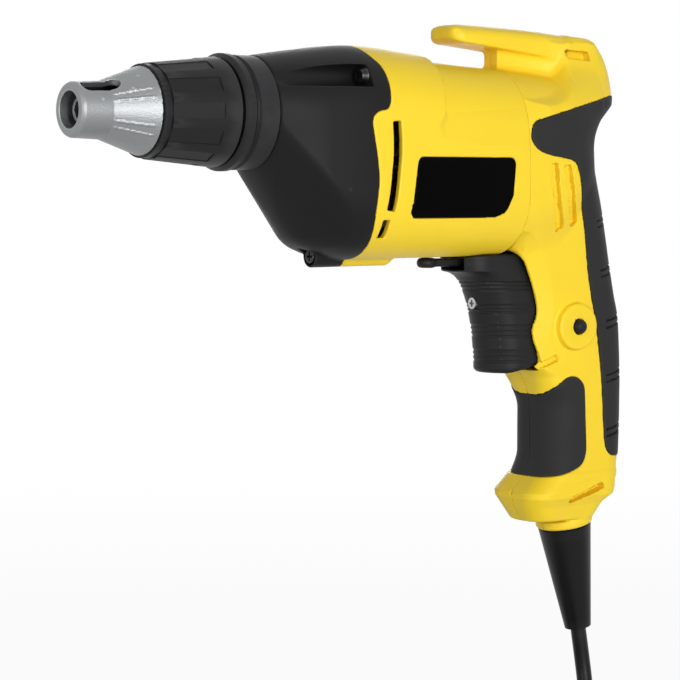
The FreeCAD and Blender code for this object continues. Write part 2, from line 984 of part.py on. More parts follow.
def make_depth_collar():
    front = cone_base - free_gap
    lip_rear = front - collar_lip_length
    nut_rear = front - collar_nut_length
    nut_radius = nose_sleeve_radius + free_gap
    sleeve_radius = nut_radius + adapter_wall + 2 * free_gap
    body = turned(
        [
            (front, nut_radius),
            (front, collar_lip_radius),
            (lip_rear, collar_lip_radius),
            (lip_rear, collar_front_radius),
            (collar_rear, collar_rear_radius),
            (collar_rear, sleeve_radius),
            (nut_rear, sleeve_radius),
            (nut_rear, nut_radius),
        ],
        spindle_height,
    )
    flute_rear = lip_rear - flute_length
    flute = block(
        V(flute_rear, -flute_width / 2, spindle_height + collar_front_radius - flute_depth / 2),
        V(lip_rear + overrun, flute_width / 2, spindle_height + 2 * collar_rear_radius),
    )
    rise = math.degrees(math.atan((collar_rear_radius - collar_front_radius) / (lip_rear - collar_rear)))
    flute.rotate(V(lip_rear, 0, spindle_height + collar_front_radius), across, rise)
    return body.cut(turned_copies(flute, collar_flutes, spindle_height)).removeSplitter()


def make_nose_adapter():
    bore = spigot_radius + free_gap
    sleeve_front = cone_base - collar_nut_length - 2 * free_gap
    sleeve_bore = nose_sleeve_radius + free_gap
    sleeve_radius = sleeve_bore + adapter_wall
    spigot_front = case_front + spigot_length
    rear = case_front + free_gap
    return turned(
        [
            (sleeve_front, sleeve_bore),
            (sleeve_front, sleeve_radius),
            (bead_front, sleeve_radius),
            (bead_front, bead_radius - bead_edge),
            (bead_front - bead_edge, bead_radius),
            (neck_front + bead_edge, bead_radius),
            (neck_front, bead_radius - bead_edge),
            (neck_front - neck_groove, neck_radius - neck_groove),
            (neck_front - 2 * neck_groove, neck_radius),
            (rear, neck_radius),
            (rear, bore),
            (spigot_front + free_gap, bore),
            (spigot_front + free_gap, sleeve_bore),
        ],
        spindle_height,
    )


def make_adapter_oring():
    middle = case_front + spigot_length / 2
    return Part.makeTorus(
        spigot_radius - oring_wire / 2 + 2 * run_gap,
        oring_wire / 2 - run_gap,
        V(middle, 0, spindle_height),
        along
    )


def make_gear_case_screws():
    screws = []
    spots = [(y, z, groove_end + seat_gap) for y, z in upper_screws()]
    spots += [(y, z, boss_front - case_screw_head + seat_gap) for y, z in lower_screws()]
    for y, z, seat in spots:
        head = rod(seat, seat + case_screw_head - 2 * seat_gap, case_screw_head_radius - seat_gap, z, y)
        head = head.fuse(rod(seat - case_screw_length + overrun, seat, case_screw_radius, z, y))
        slots = cross_cut(V(seat + case_screw_head - 2 * seat_gap, y, z), along, case_screw_head_radius)
        screws.append(head.cut(slots).removeSplitter())
    return Part.makeCompound(screws)


def cross_cut(spot, axis, radius):
    reach = radius * cross_share
    half = cross_slot / 2
    bar = block(V(-cross_depth, -reach, -half), V(cross_depth, reach, half))
    other = block(V(-cross_depth, -half, -reach), V(cross_depth, half, reach))
    both = bar.fuse(other)
    both.Placement = FreeCAD.Placement(spot, FreeCAD.Rotation(along, axis))
    return both


def make_handle_screws():
    screws = []
    for x, z in shell_bosses():
        shank = cross_rod(x, z, -shell_screw_side, shell_screw_side - seat_gap, shell_screw_radius)
        head_low = -shell_screw_side - shell_screw_head
        head = cross_rod(x, z, head_low, -shell_screw_side - seat_gap, shell_screw_head_radius)
        shank = shank.fuse(head).fuse(cross_rod(x, z, head_low, 0, shell_screw_radius))
        screws.append(
            shank.cut(
                cross_cut(V(x, head_low, z), V(0, -1, 0), shell_screw_head_radius)
            ).removeSplitter()
        )
    return Part.makeCompound(screws)


def bearing_rings(x0, x1, outer, bore):
    inner_land = bore + race_depth
    outer_land = outer - race_depth
    middle = (x0 + x1) / 2
    pitch = (inner_land + outer_land) / 2
    ball = (outer_land - inner_land) / 2 - run_gap
    outer_ring = ring(x0, x1, outer, outer_land, motor_height)
    inner_ring = ring(x0, x1, inner_land, bore + run_gap / 2, motor_height)
    first = Part.makeSphere(ball, V(middle, 0, motor_height + pitch))
    return outer_ring, inner_ring, turned_copies(first, ball_count, motor_height)


def make_bearing_plate():
    plate = gear_case_form(-case_wall - 2 * seat_gap)
    plate = plate.common(rod(plate_rear, plate_front, beyond, motor_height))
    for y, z in upper_screws():
        plate = plate.cut(rod(seam_reach, nose_reach, groove_radius + case_wall + seat_gap, z, y))
    for y, z in lower_screws():
        plate = plate.cut(rod(seam_reach, nose_reach, lower_boss_radius + seat_gap, z, y))
    plate = plate.cut(rod(seam_reach, nose_reach, front_bearing_radius + seat_gap / 2, motor_height))
    bush = gear_stub_radius + gear_bush_wall + run_gap
    return plate.cut(rod(seam_reach, nose_reach, bush + seat_gap / 2, spindle_height)).removeSplitter()


def make_gear_bush():
    outer = gear_stub_radius + gear_bush_wall + run_gap
    return ring(plate_rear, plate_front, outer, gear_stub_radius + run_gap, spindle_height)


def gear_outline(teeth, shift, addendum, x, height, phase):
    pressure = math.radians(pressure_angle)
    pitch = gear_module * teeth / 2
    base = pitch * math.cos(pressure)
    root = pitch + gear_module * (shift - dedendum_share)
    tip = pitch + gear_module * (shift + addendum)
    thick = (math.pi / 2 + 2 * shift * math.tan(pressure)) / teeth - gear_backlash / 4 / pitch

    def half_angle(radius):
        lean = math.acos(base / max(radius, base))
        return thick + math.tan(pressure) - pressure - math.tan(lean) + lean

    def spot(radius, angle):
        return V(x, radius * math.cos(angle), height + radius * math.sin(angle))

    low = max(root, base)
    heights = [low + (tip - low) * i / 4 for i in range(5)]
    edges = []
    for i in range(teeth):
        middle = phase + 2 * math.pi * i / teeth
        rising = [spot(r, middle - half_angle(r)) for r in heights]
        falling = [spot(r, middle + half_angle(r)) for r in reversed(heights)]
        if root < base:
            rising = [spot(root, middle - half_angle(root))] + rising
            falling = falling + [spot(root, middle + half_angle(root))]
        for flank in (rising, falling):
            edges += [Part.LineSegment(a, b).toShape() for a, b in zip(flank, flank[1:])]
            if flank is rising:
                edges.append(Part.Arc(rising[-1], spot(tip, middle), falling[0]).toShape())
        after = middle + 2 * math.pi / teeth
        valley = spot(root, (middle + after) / 2)
        edges.append(
            Part.Arc(
                falling[-1], valley, spot(root if root < base else low, after - half_angle(low))
            ).toShape()
        )
    return Part.Wire(edges)


pinion_shift = 0.53
pinion_tip_share = 0.8
wheel_tip_share = 1.0


def make_armature_shaft():
    pinion_front = gear_front + pinion_overlap
    pinion_rear = gear_rear - pinion_overlap
    profile = [
        (rear_bearing_rear - overrun, 0),
        (rear_bearing_rear - overrun, shaft_rear_radius),
        (rear_bearing_front + run_gap, shaft_rear_radius),
        (rear_bearing_front + run_gap, shaft_radius),
        (pinion_rear, shaft_radius),
        (pinion_rear, 0),
    ]
    shaft = turned(profile, motor_height)
    outline = gear_outline(
        pinion_teeth, pinion_shift, pinion_tip_share, pinion_rear, motor_height, math.pi / 2
    )
    return shaft.fuse(Part.Face(outline).extrude(V(pinion_front - pinion_rear, 0, 0))).removeSplitter()


def slot_bars(width, floor):
    low = V(core_rear - overrun, -width / 2, motor_height + floor)
    high = V(core_front + overrun, width / 2, motor_height + core_radius + overrun)
    return turned_copies(block(low, high), core_slots, motor_height)


def make_armature_core():
    core = ring(core_rear, core_front, core_radius, shaft_radius + run_gap / 2, motor_height)
    return core.cut(slot_bars(slot_width, slot_floor_radius)).removeSplitter()


def make_armature_windings():
    front = ring(
        core_front + run_gap,
        core_front + winding_front,
        winding_radius,
        winding_hub_radius,
        motor_height,
    )
    rear = ring(
        core_rear - winding_rear, core_rear - run_gap, winding_radius, winding_hub_radius, motor_height
    )
    bars = slot_bars(slot_width - 2 * seat_gap, slot_floor_radius + seat_gap)
    trim = rod(core_rear - overrun, core_front + overrun, winding_radius, motor_height)
    return fused([front, rear] + [bar.common(trim) for bar in bars])


def make_commutator():
    body = ring(
        commutator_rear, commutator_front, commutator_radius, shaft_radius + run_gap / 2, motor_height
    )
    riser = ring(
        commutator_front - holder_wall, commutator_front, commutator_radius + holder_wall / 2,
        shaft_radius + race_depth, motor_height,
    )
    slit = block(
        V(
            commutator_rear - overrun,
            -commutator_slit / 2,
            motor_height + commutator_radius - 2 * commutator_slit,
        ),
        V(commutator_front + overrun, commutator_slit / 2, motor_height + 2 * commutator_radius),
    )
    return body.fuse(riser).cut(turned_copies(slit, commutator_bars, motor_height)).removeSplitter()


def make_cooling_fan():
    front = fan_rear + fan_length
    hub = rod(fan_rear, front, fan_hub_radius, motor_height)
    plate = rod(front - fan_plate, front, fan_radius, motor_height)
    blade = block(
        V(fan_rear, -fan_blade / 2, motor_height + fan_hub_radius - fan_blade),
        V(front - fan_plate / 2, fan_blade / 2, motor_height + fan_radius - fan_blade),
    )
    fan = fused([hub, plate] + turned_copies(blade, fan_blades, motor_height))
    return fan.cut(rod(fan_rear - overrun, front + overrun, shaft_radius + run_gap / 2, motor_height))


stator_bore = core_radius + air_gap
stator_inner = stator_radius - stator_ring


def make_stator_core():
    yoke = ring(stator_rear, stator_front, stator_radius, stator_inner, motor_height)
    poles = []
    for turn in (0, 180):
        start = turn - pole_half_angle
        poles.append(wedge(
            stator_rear,
            stator_front,
            stator_bore,
            stator_inner + stator_ring / 2,
            start,
            turn + pole_half_angle,
            motor_height
        ))
    return fused([yoke] + poles)


def make_field_coils():
    coils = []
    inner = stator_bore + coil_gap
    outer = stator_inner - coil_gap
    side_angle = pole_half_angle + math.degrees(coil_gap / stator_bore)
    for turn in (0, 180):
        low = turn - coil_half_angle
        high = turn + coil_half_angle
        pieces = [
            wedge(stator_front + coil_gap, stator_front + coil_end, inner, outer, low, high, motor_height),
            wedge(stator_rear - coil_end, stator_rear - coil_gap, inner, outer, low, high, motor_height),
            wedge(
                stator_rear - coil_end,
                stator_front + coil_end,
                inner,
                outer,
                turn + side_angle,
                high,
                motor_height,
            ),
            wedge(
                stator_rear - coil_end,
                stator_front + coil_end,
                inner,
                outer,
                low,
                turn - side_angle,
                motor_height,
            ),
        ]
        coils.append(fused(pieces))
    return Part.makeCompound(coils)


brush_middle = (commutator_rear + commutator_front - holder_wall) / 2
holder_outer = seam_half_width - handle_wall - holder_end_gap
brush_face = commutator_radius + free_gap


def brush_box(y0, y1, grow):
    half_x = brush_width / 2 + grow
    half_z = brush_height / 2 + grow
    return block(
        V(brush_middle - half_x, y0, motor_height - half_z),
        V(brush_middle + half_x, y1, motor_height + half_z),
    )


def both_sides(shape):
    return Part.makeCompound([shape, mirrored(shape)])


def make_brush_holders():
    start = commutator_radius + holder_setback
    holder = brush_box(start, holder_outer, holder_wall + seat_gap)
    return both_sides(holder.cut(brush_box(start - overrun, holder_outer - holder_wall, seat_gap)))


def make_carbon_brushes():
    brush = brush_box(0, brush_face + brush_length, 0)
    return both_sides(brush.cut(rod(-beyond, beyond, brush_face, motor_height)))


def make_brush_springs():
    start = brush_face + brush_length + seat_gap
    end = holder_outer - holder_wall - seat_gap
    radius = brush_height / 2 - brush_spring_wire
    spring = helix_spring(start, end, radius, brush_spring_wire, brush_spring_turns, 0)
    spring.rotate(V(0, 0, 0), upward, 90)
    spring.translate(V(brush_middle, 0, motor_height))
    return both_sides(spring)


def dogs(x0, x1, turn):
    dog = wedge(
        x0,
        x1,
        dog_inner_radius,
        dog_outer_radius,
        turn - dog_angle / 2,
        turn + dog_angle / 2,
        spindle_height,
    )
    return turned_copies(dog, dog_count, spindle_height)


def make_drive_gear():
    phase = -math.pi / 2 + math.pi / wheel_teeth
    outline = gear_outline(wheel_teeth, -pinion_shift, wheel_tip_share, gear_rear, spindle_height, phase)
    wheel = Part.Face(outline).extrude(V(gear_length, 0, 0))
    stub = rod(plate_rear, gear_rear + run_gap, gear_stub_radius, spindle_height)
    gear = fused([wheel, stub] + dogs(gear_front - run_gap, dog_front, 0))
    return gear.cut(rod(seam_reach, nose_reach, pilot_radius + run_gap, spindle_height))


def make_spindle():
    pilot_rear = gear_rear - run_gap
    body = turned(
        [
            (pilot_rear, 0),
            (pilot_rear, pilot_radius),
            (flange_rear, pilot_radius),
            (flange_rear, clutch_flange_radius),
            (flange_front, clutch_flange_radius),
            (flange_front, spindle_radius),
            (spindle_front, spindle_radius),
            (spindle_front, 0),
        ],
        spindle_height,
    )
    body = fused([body] + dogs(flange_rear - dog_height, flange_rear + run_gap, 180 / dog_count))
    return body.cut(
        hex_rod(
            spindle_front - shank_length, spindle_front + overrun, hex_flats + seat_gap, spindle_height
        )
    )


def make_thrust_washer():
    return ring(
        washer_rear,
        washer_rear + washer_length,
        washer_radius,
        spindle_radius + run_gap,
        spindle_height,
    )


def make_spindle_bush():
    return ring(bush_rear, bush_rear + bush_length, bush_radius, spindle_radius + run_gap, spindle_height)


def make_clutch_spring():
    return helix_spring(
        gear_front + seat_gap, flange_rear - seat_gap, clutch_spring_radius, clutch_spring_wire,
        clutch_spring_turns, spindle_height,
    )


holder_front = nose_reach - holder_end


def make_bit_holder():
    rear = spindle_front + holder_gap
    body = rod(rear, holder_front, holder_radius, spindle_height)
    shank = hex_rod(spindle_front - shank_length + holder_gap, rear + run_gap, hex_flats, spindle_height)
    socket = hex_rod(holder_front - hex_depth, holder_front + overrun, hex_flats, spindle_height)
    seat = rod(
        holder_front - hex_depth - magnet_length,
        holder_front,
        magnet_radius + run_gap / 2,
        spindle_height,
    )
    return body.fuse(shank).cut([socket, seat]).removeSplitter()


def make_bit_magnet():
    floor = holder_front - hex_depth
    return rod(floor - magnet_length, floor, magnet_radius, spindle_height)


def bullet_wire(z, front, half_width, rear):
    middle = front - half_width
    lean = half_width * math.sqrt(0.5)
    corners = [
        V(rear, -half_width, z),
        V(middle, -half_width, z),
        V(front, 0, z),
        V(middle, half_width, z),
        V(rear, half_width, z),
    ]
    edges = [
        Part.LineSegment(corners[0], corners[1]).toShape(),
        Part.Arc(corners[1], V(middle + lean, -lean, z), corners[2]).toShape(),
        Part.Arc(corners[2], V(middle + lean, lean, z), corners[3]).toShape(),
        Part.LineSegment(corners[3], corners[4]).toShape(),
        Part.LineSegment(corners[4], corners[0]).toShape(),
    ]
    return Part.Wire(edges)


def trigger_form(inset, rear):
    low = trigger_bottom + inset
    high = trigger_top - inset
    wires = []
    for z, lean in trigger_front_shares:
        front = trigger_front + trigger_lean * lean - inset
        wires.append(bullet_wire(low + (high - low) * z, front, trigger_half_width - inset, rear))
    return lofted(wires)


def trigger_front_at(height):
    rows = [
        (trigger_bottom + (trigger_top - trigger_bottom) * z, trigger_front + trigger_lean * x)
        for z, x in trigger_front_shares
    ]
    for (z0, x0), (z1, x1) in zip(rows, rows[1:]):
        if z0 <= height <= z1:
            return x0 + (x1 - x0) * (height - z0) / (z1 - z0)
    return trigger_front


def make_trigger():
    hollow = trigger_form(trigger_wall, trigger_rear - overrun)
    rib = block(
        V(trigger_rear, -plunger_radius - trigger_wall, trigger_bottom),
        V(nose_reach, plunger_radius + trigger_wall, trigger_top),
    )
    body = trigger_form(0, trigger_rear).cut(hollow.cut(rib))
    face = trigger_front_at(speed_screw_height)
    bore = rod(face - speed_screw_length, face + overrun, speed_screw_radius + run_gap, speed_screw_height)
    return body.cut(bore).removeSplitter()


def make_speed_screw():
    face = trigger_front_at(speed_screw_height)
    end = face + speed_screw_proud
    body = rod(face - speed_screw_length + seat_gap, end, speed_screw_radius, speed_screw_height)
    return body.cut(cross_cut(V(end, 0, speed_screw_height), along, speed_screw_radius)).removeSplitter()


def make_switch_plunger():
    return rod(switch_front - plunger_entry, trigger_rear, plunger_radius, plunger_height)


def make_switch_module():
    body = block(
        V(-switch_rear, -switch_half_width, switch_bottom),
        V(switch_front, switch_half_width, switch_top),
    )
    depth = plunger_entry + trigger_travel + overrun
    body = body.cut(
        rod(switch_front - depth, switch_front + overrun, plunger_radius + free_gap, plunger_height)
    )
    pocket = cross_rod(
        lock_reach, lock_height, lock_inner - lock_travel - overrun, handle_width, lock_pocket_radius
    )
    return body.cut(pocket)


lock_inner = handle_width / 2 - handle_wall - lock_flange - seat_gap
lock_pocket_radius = lock_radius + lock_flange + free_gap


def make_lock_button():
    end = handle_width / 2 + boss_proud + lock_proud
    dome = lock_radius * dome_share
    shaft = cross_rod(lock_reach, lock_height, lock_inner, end - dome, lock_radius)
    cap = Part.makeCone(lock_radius, lock_radius - dome, dome, V(lock_reach, end - dome, lock_height), across)
    flange = cross_rod(
        lock_reach, lock_height, lock_inner, lock_inner + lock_flange, lock_radius + lock_flange
    )
    return fused([shaft, cap, flange])


def make_reverse_lever():
    hub = Part.makeCylinder(lever_hub_radius, lever_thickness, V(lever_pivot, 0, lever_low), upward)
    arm = block(
        V(lever_pivot, -lever_arm_width / 2, lever_low), V(lever_reach, lever_arm_width / 2, lever_high)
    )
    knob = Part.makeCylinder(lever_knob_radius, lever_knob_height, V(lever_reach, 0, lever_low), upward)
    pin = Part.makeCylinder(
        lever_pin_radius, lever_pin_length + lever_thickness, V(lever_pivot, 0, lever_low), upward
    )
    return fused([hub, arm, knob, pin])


clamp_floor = handle_section_shares[0][0] * spindle_height
clamp_side = clamp_width / 2 + seat_gap


def clamp_screw_spots():
    inset = clamp_screw_head_radius + seat_gap
    return [V(clamp_rear + inset, clamp_side, clamp_floor), V(clamp_front - inset, clamp_side, clamp_floor)]


def clamp_cuts():
    depth = V(0, 0, clamp_height)
    return [
        Part.makeCylinder(clamp_screw_radius + run_gap, clamp_height, spot - depth, upward)
        for spot in clamp_screw_spots()
    ]


def make_cord_clamp():
    half = clamp_width / 2
    bar = block(
        V(clamp_rear, clamp_side - half, clamp_floor),
        V(clamp_front, clamp_side + half, clamp_floor + clamp_height),
    )
    holes = [
        Part.makeCylinder(clamp_screw_radius + run_gap, clamp_height, spot, upward)
        for spot in clamp_screw_spots()
    ]
    return bar.cut(holes)


def make_clamp_screws():
    screws = []
    for spot in clamp_screw_spots():
        top = spot + V(0, 0, clamp_height)
        shank = Part.makeCylinder(clamp_screw_radius, 2 * clamp_height, spot - V(0, 0, clamp_height), upward)
        head = Part.makeCylinder(clamp_screw_head_radius, clamp_screw_radius, top, upward)
        slots = cross_cut(top + V(0, 0, clamp_screw_radius), upward, clamp_screw_head_radius)
        screws.append(shank.fuse(head).cut(slots).removeSplitter())
    return Part.makeCompound(screws)


# Route of the cord from the guard to the coil
cord_route = [
    V(-5.88, 0.0, -105.73),
    V(-8.78, 0.0, -121.55),
    V(-8.03, 3.02, -133.86),
    V(-4.3, 8.71, -144.59),
    V(1.95, 16.42, -152.5),
    V(10.04, 25.27, -156.7),
    V(19.02, 34.25, -156.7),
]
cord_arc_share = 0.45


def make_power_cord():
    edges = []
    start = cord_route[0]
    for before, spot, after in zip(cord_route, cord_route[1:], cord_route[2:]):
        back = before - spot
        ahead = after - spot
        reach = cord_arc_share * min(back.Length, ahead.Length)
        half_turn = (math.pi - back.getAngle(ahead)) / 2
        print("cord radius", round(reach / math.tan(half_turn), 1))
        enter = spot + back.normalize() * reach
        leave = spot + ahead.normalize() * reach
        edges.append(Part.LineSegment(start, enter).toShape())
        edges.append(arc_edge(enter, spot, leave))
        start = leave
    edges.append(Part.LineSegment(start, cord_route[-1]).toShape())
    tube = tube_on(edges, cord_radius)
    length = sum(edge.Length for edge in edges)
    print(
        "cord length",
        round(length, 1),
        "volume share",
        round(tube.Volume / (math.pi * cord_radius**2 * length), 4),
    )
    return tube


coil_start = cord_route[-1]
coil_outer = (coil_mid_diameter + coil_layer_turns * coil_step) / 2
coil_centre = coil_start + V(coil_outer, coil_lead, 0)
coil_layer = coil_step
coil_quarters = round(4 * coil_layer_turns)
coil_count = 2 * coil_quarters + 2 - coil_short_quarters


def coil_turned(shape):
    shape.rotate(coil_start, upward, coil_bearing)
    return shape


def coil_spot(quarter):
    climb = min(max(quarter - coil_quarters, 0), 2) / 2
    inward = min(quarter, coil_quarters)
    outward = max(quarter - coil_quarters - 2, 0)
    tuck = climb_tuck_share * math.sin(math.pi * climb)
    radius = coil_outer - coil_step * ((inward - outward) / 4 + tuck)
    angle = math.pi / 2 * quarter
    rise = coil_layer * (1 - math.cos(math.pi * climb)) / 2
    return coil_centre + V(-radius * math.cos(angle), radius * math.sin(angle), rise)


coil_end_turn = math.pi / 2 * coil_count
coil_end_way = V(math.sin(coil_end_turn), math.cos(coil_end_turn), 0)


def make_cord_coil():
    spots = [coil_spot(i) for i in range(coil_count + 1)]
    tiny_share = 0.01
    ways = []
    for i in range(coil_count + 1):
        ways.append((coil_spot(i + tiny_share) - coil_spot(i - tiny_share)).normalize())
    ways[0] = across
    ways[-1] = coil_end_way
    edges = [Part.LineSegment(coil_start, spots[0]).toShape()]
    for i in range(coil_count):
        edges += biarc_edges(spots[i], ways[i], spots[i + 1], ways[i + 1])
    edges.append(Part.LineSegment(spots[-1], spots[-1] + coil_end_way * coil_tail).toShape())
    points = []
    for edge in edges:
        points += edge.discretize(Distance=cord_radius)[:-1]
    print("coil length", round(sum(edge.Length for edge in edges), 1))
    print("coil gap to itself", round(least_gap(points, cord_diameter, 12), 2))
    return coil_turned(tube_on(edges, cord_radius))


coil_tip = coil_spot(coil_count) + coil_end_way * coil_tail - coil_start
coil_end_spot = coil_start + FreeCAD.Rotation(upward, coil_bearing).multVec(coil_tip)
coil_inner = coil_outer - coil_layer_turns * coil_step
tie_low = cord_route[-1].z - cord_radius - tie_gap
tie_high = cord_route[-1].z + coil_layer + cord_radius + tie_gap


def make_cord_tie():
    near = coil_centre.y + coil_inner - cord_radius - tie_gap
    far = coil_centre.y + coil_outer + cord_radius + tie_gap
    half = tie_width / 2
    outside = block(
        V(coil_centre.x - half, near - tie_thickness, tie_low - tie_thickness),
        V(coil_centre.x + half, far + tie_thickness, tie_high + tie_thickness),
    )
    inside = block(V(coil_centre.x - tie_width, near, tie_low), V(coil_centre.x + tie_width, far, tie_high))
    return coil_turned(outside.cut(inside))


plug_half_height = coil_layer + cord_radius


def plug_wire(y, half_width, half_height, corner):
    centre = coil_end_spot
    return rounded_wire(
        lambda x, z: V(x, y, z),
        (centre.x - half_width, centre.z - half_height),
        (centre.x + half_width, centre.z + half_height),
        corner,
    )


plug_rear = coil_end_spot.y
plug_face = plug_rear - plug_length


def plug_turned(shape):
    shape.rotate(coil_end_spot, upward, coil_bearing + 180 - math.degrees(coil_end_turn))
    return shape


def make_plug_body():
    neck = cord_diameter
    waist = plug_face + plug_nose_length
    return plug_turned(lofted([
        plug_wire(plug_rear, neck, neck, neck * round_share),
        plug_wire(waist, plug_width / 2, plug_half_height, plug_half_height / 2),
        plug_wire(plug_face, plug_nose_width / 2, plug_half_height, plug_half_height / 2),
    ]))


def make_plug_pins():
    pins = []
    for side in (-pin_spacing / 2, pin_spacing / 2):
        x = coil_end_spot.x + side
        pins.append(
            Part.makeCylinder(
                pin_radius, pin_length, V(x, plug_face - pin_length, coil_end_spot.z), across
            )
        )
    return plug_turned(Part.makeCompound(pins))


def make_all():
    handle_left, handle_right = make_handle_halves()
    rear_grip = grip_form(rear_grip_outline_shares, rubber_proud, rubber_depth)
    front_grip = grip_form(front_grip_outline_shares, rubber_proud, rubber_depth)
    left = left_space()
    right = mirrored(left)
    front_rings = bearing_rings(plate_rear, plate_front, front_bearing_radius, shaft_radius)
    rear_rings = bearing_rings(rear_bearing_rear, rear_bearing_front, rear_bearing_radius, shaft_rear_radius)
    return {
        "nose_cone": make_nose_cone(),
        "depth_collar": make_depth_collar(),
        "nose_adapter": make_nose_adapter(),
        "adapter_oring": make_adapter_oring(),
        "gear_case": make_gear_case(),
        "field_case": make_field_case(),
        "handle_left": handle_left,
        "handle_right": handle_right,
        "rear_grip_left": rear_grip.common(left),
        "rear_grip_right": rear_grip.common(right),
        "front_grip_left": front_grip.common(left),
        "front_grip_right": front_grip.common(right),
        "label_plate": make_label_plate(),
        "gear_case_screws": make_gear_case_screws(),
        "handle_screws": make_handle_screws(),
        "bearing_plate": make_bearing_plate(),
        "front_bearing_outer": front_rings[0],
        "front_bearing_inner": front_rings[1],
        "rear_bearing_outer": rear_rings[0],
        "rear_bearing_inner": rear_rings[1],
        "bearing_balls": Part.makeCompound(front_rings[2] + rear_rings[2]),
        "armature_shaft": make_armature_shaft(),
        "armature_core": make_armature_core(),
        "armature_windings": make_armature_windings(),
        "commutator": make_commutator(),
        "cooling_fan": make_cooling_fan(),
        "stator_core": make_stator_core(),
        "field_coils": make_field_coils(),
        "brush_holders": make_brush_holders(),
        "carbon_brushes": make_carbon_brushes(),
        "brush_springs": make_brush_springs(),
        "gear_bush": make_gear_bush(),
        "drive_gear": make_drive_gear(),
        "spindle": make_spindle(),
        "spindle_bush": make_spindle_bush(),
        "thrust_washer": make_thrust_washer(),
        "clutch_spring": make_clutch_spring(),
        "bit_holder": make_bit_holder(),
        "bit_magnet": make_bit_magnet(),
        "trigger": make_trigger(),
        "speed_screw": make_speed_screw(),
        "switch_plunger": make_switch_plunger(),
        "switch_module": make_switch_module(),
        "lock_button": make_lock_button(),
        "reverse_lever": make_reverse_lever(),
        "cord_guard": make_cord_guard(),
        "cord_clamp": make_cord_clamp(),
        "clamp_screws": make_clamp_screws(),
        "power_cord": make_power_cord(),
        "cord_coil": make_cord_coil(),
        "cord_tie": make_cord_tie(),
        "plug_body": make_plug_body(),
        "plug_pins": make_plug_pins(),
    }


os.makedirs("parts", exist_ok=True)
for node, shape in make_all().items():
    solids = Part.makeCompound(shape.Solids)
    print(node, len(shape.Solids), round(solids.Volume), "valid" if solids.isValid() else "NOT VALID")
    solids.exportStep(os.path.join("parts", node + ".step"))
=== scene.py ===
import functools
import math

import bpy
import numpy as np
from mathutils import Matrix, Vector


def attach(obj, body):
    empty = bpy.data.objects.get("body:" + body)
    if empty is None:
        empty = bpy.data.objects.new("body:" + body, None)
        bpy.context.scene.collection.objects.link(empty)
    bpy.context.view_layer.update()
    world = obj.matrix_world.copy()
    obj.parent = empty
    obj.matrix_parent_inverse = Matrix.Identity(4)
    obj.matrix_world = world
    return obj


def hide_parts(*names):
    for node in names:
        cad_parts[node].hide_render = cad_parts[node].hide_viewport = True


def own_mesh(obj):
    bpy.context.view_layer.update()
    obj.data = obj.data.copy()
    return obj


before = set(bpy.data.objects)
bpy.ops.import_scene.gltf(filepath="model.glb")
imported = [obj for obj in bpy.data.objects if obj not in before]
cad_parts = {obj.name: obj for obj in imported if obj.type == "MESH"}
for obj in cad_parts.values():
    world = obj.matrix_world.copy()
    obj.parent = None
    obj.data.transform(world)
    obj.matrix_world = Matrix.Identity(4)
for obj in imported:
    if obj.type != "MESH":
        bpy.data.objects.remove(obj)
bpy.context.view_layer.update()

mm = 0.001
scene = bpy.context.scene
scene.view_settings.view_transform = "Standard"
print("frame loaded,", len(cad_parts), "nodes")


# camera at the photograph's angle
viewSet = {"place": (0.7101, 0.7754, 0.0943), "turn": 37.0, "rise": 4.0, "lens": 127.06, "sensor": 36.0,
           "clip": (0.01, 20)}


def makeCamera():
    turn, rise = math.radians(viewSet["turn"]), math.radians(viewSet["rise"])
    back = Vector((math.sin(turn) * math.cos(rise), math.cos(turn) * math.cos(rise), math.sin(rise)))
    right = (-back).cross(Vector((0, 0, 1))).normalized()
    up = right.cross(-back)
    data = bpy.data.cameras.new("mainCamera")
    data.lens = viewSet["lens"]
    data.sensor_width = viewSet["sensor"]
    data.clip_start, data.clip_end = viewSet["clip"]
    camera = bpy.data.objects.new("mainCamera", data)
    columns = Matrix((right, up, back)).transposed().to_4x4()
    columns.translation = Vector(viewSet["place"])
    camera.matrix_world = columns
    scene.collection.objects.link(camera)
    scene.camera = camera


makeCamera()
print("camera placed")


# shader groups shared by the finishes
number, colour = "NodeSocketFloat", "NodeSocketColor"
groupSet = {"fineDetail": 3.0, "broadScale": 38.0, "broadDetail": 2.0, "patchDetail": 4.0, "cloudDetail": 5.0,
            "lineDetail": 4.0, "lineStretch": (1.0, 0.04, 0.04)}


def newGroup(name, inputs, outputs):
    group = bpy.data.node_groups.new(name, "ShaderNodeTree")
    for label, kind, value in inputs:
        socket = group.interface.new_socket(label, in_out="INPUT", socket_type=kind)
        socket.default_value = value
    for label, kind in outputs:
        group.interface.new_socket(label, in_out="OUTPUT", socket_type=kind)
    start = group.nodes.new("NodeGroupInput")
    end = group.nodes.new("NodeGroupOutput")
    return group, start, end


def addNode(tree, kind, **values):
    node = tree.nodes.new(kind)
    for key, value in values.items():
        setattr(node, key, value)
    return node


def fill(tree, socket, value):
    if isinstance(value, bpy.types.NodeSocket):
        tree.links.new(value, socket)
    else:
        socket.default_value = value


def feed(tree, node, **values):
    for label, value in values.items():
        fill(tree, node.inputs[label.replace("_", " ")], value)
    return node


def mathNode(tree, operation, a, b, clamp=False):
    node = addNode(tree, "ShaderNodeMath", operation=operation, use_clamp=clamp)
    for socket, value in zip(node.inputs, (a, b)):
        fill(tree, socket, value)
    return node.outputs[0]


def colourMix(tree, share, first, second):
    node = addNode(tree, "ShaderNodeMix", data_type="RGBA")
    for slot, value in ((0, share), (6, first), (7, second)):  # where the node keeps its share and colours
        tree.links.new(value, node.inputs[slot])
    return node.outputs[2]


def objectSpot(tree):
    return addNode(tree, "ShaderNodeTexCoord").outputs["Object"]


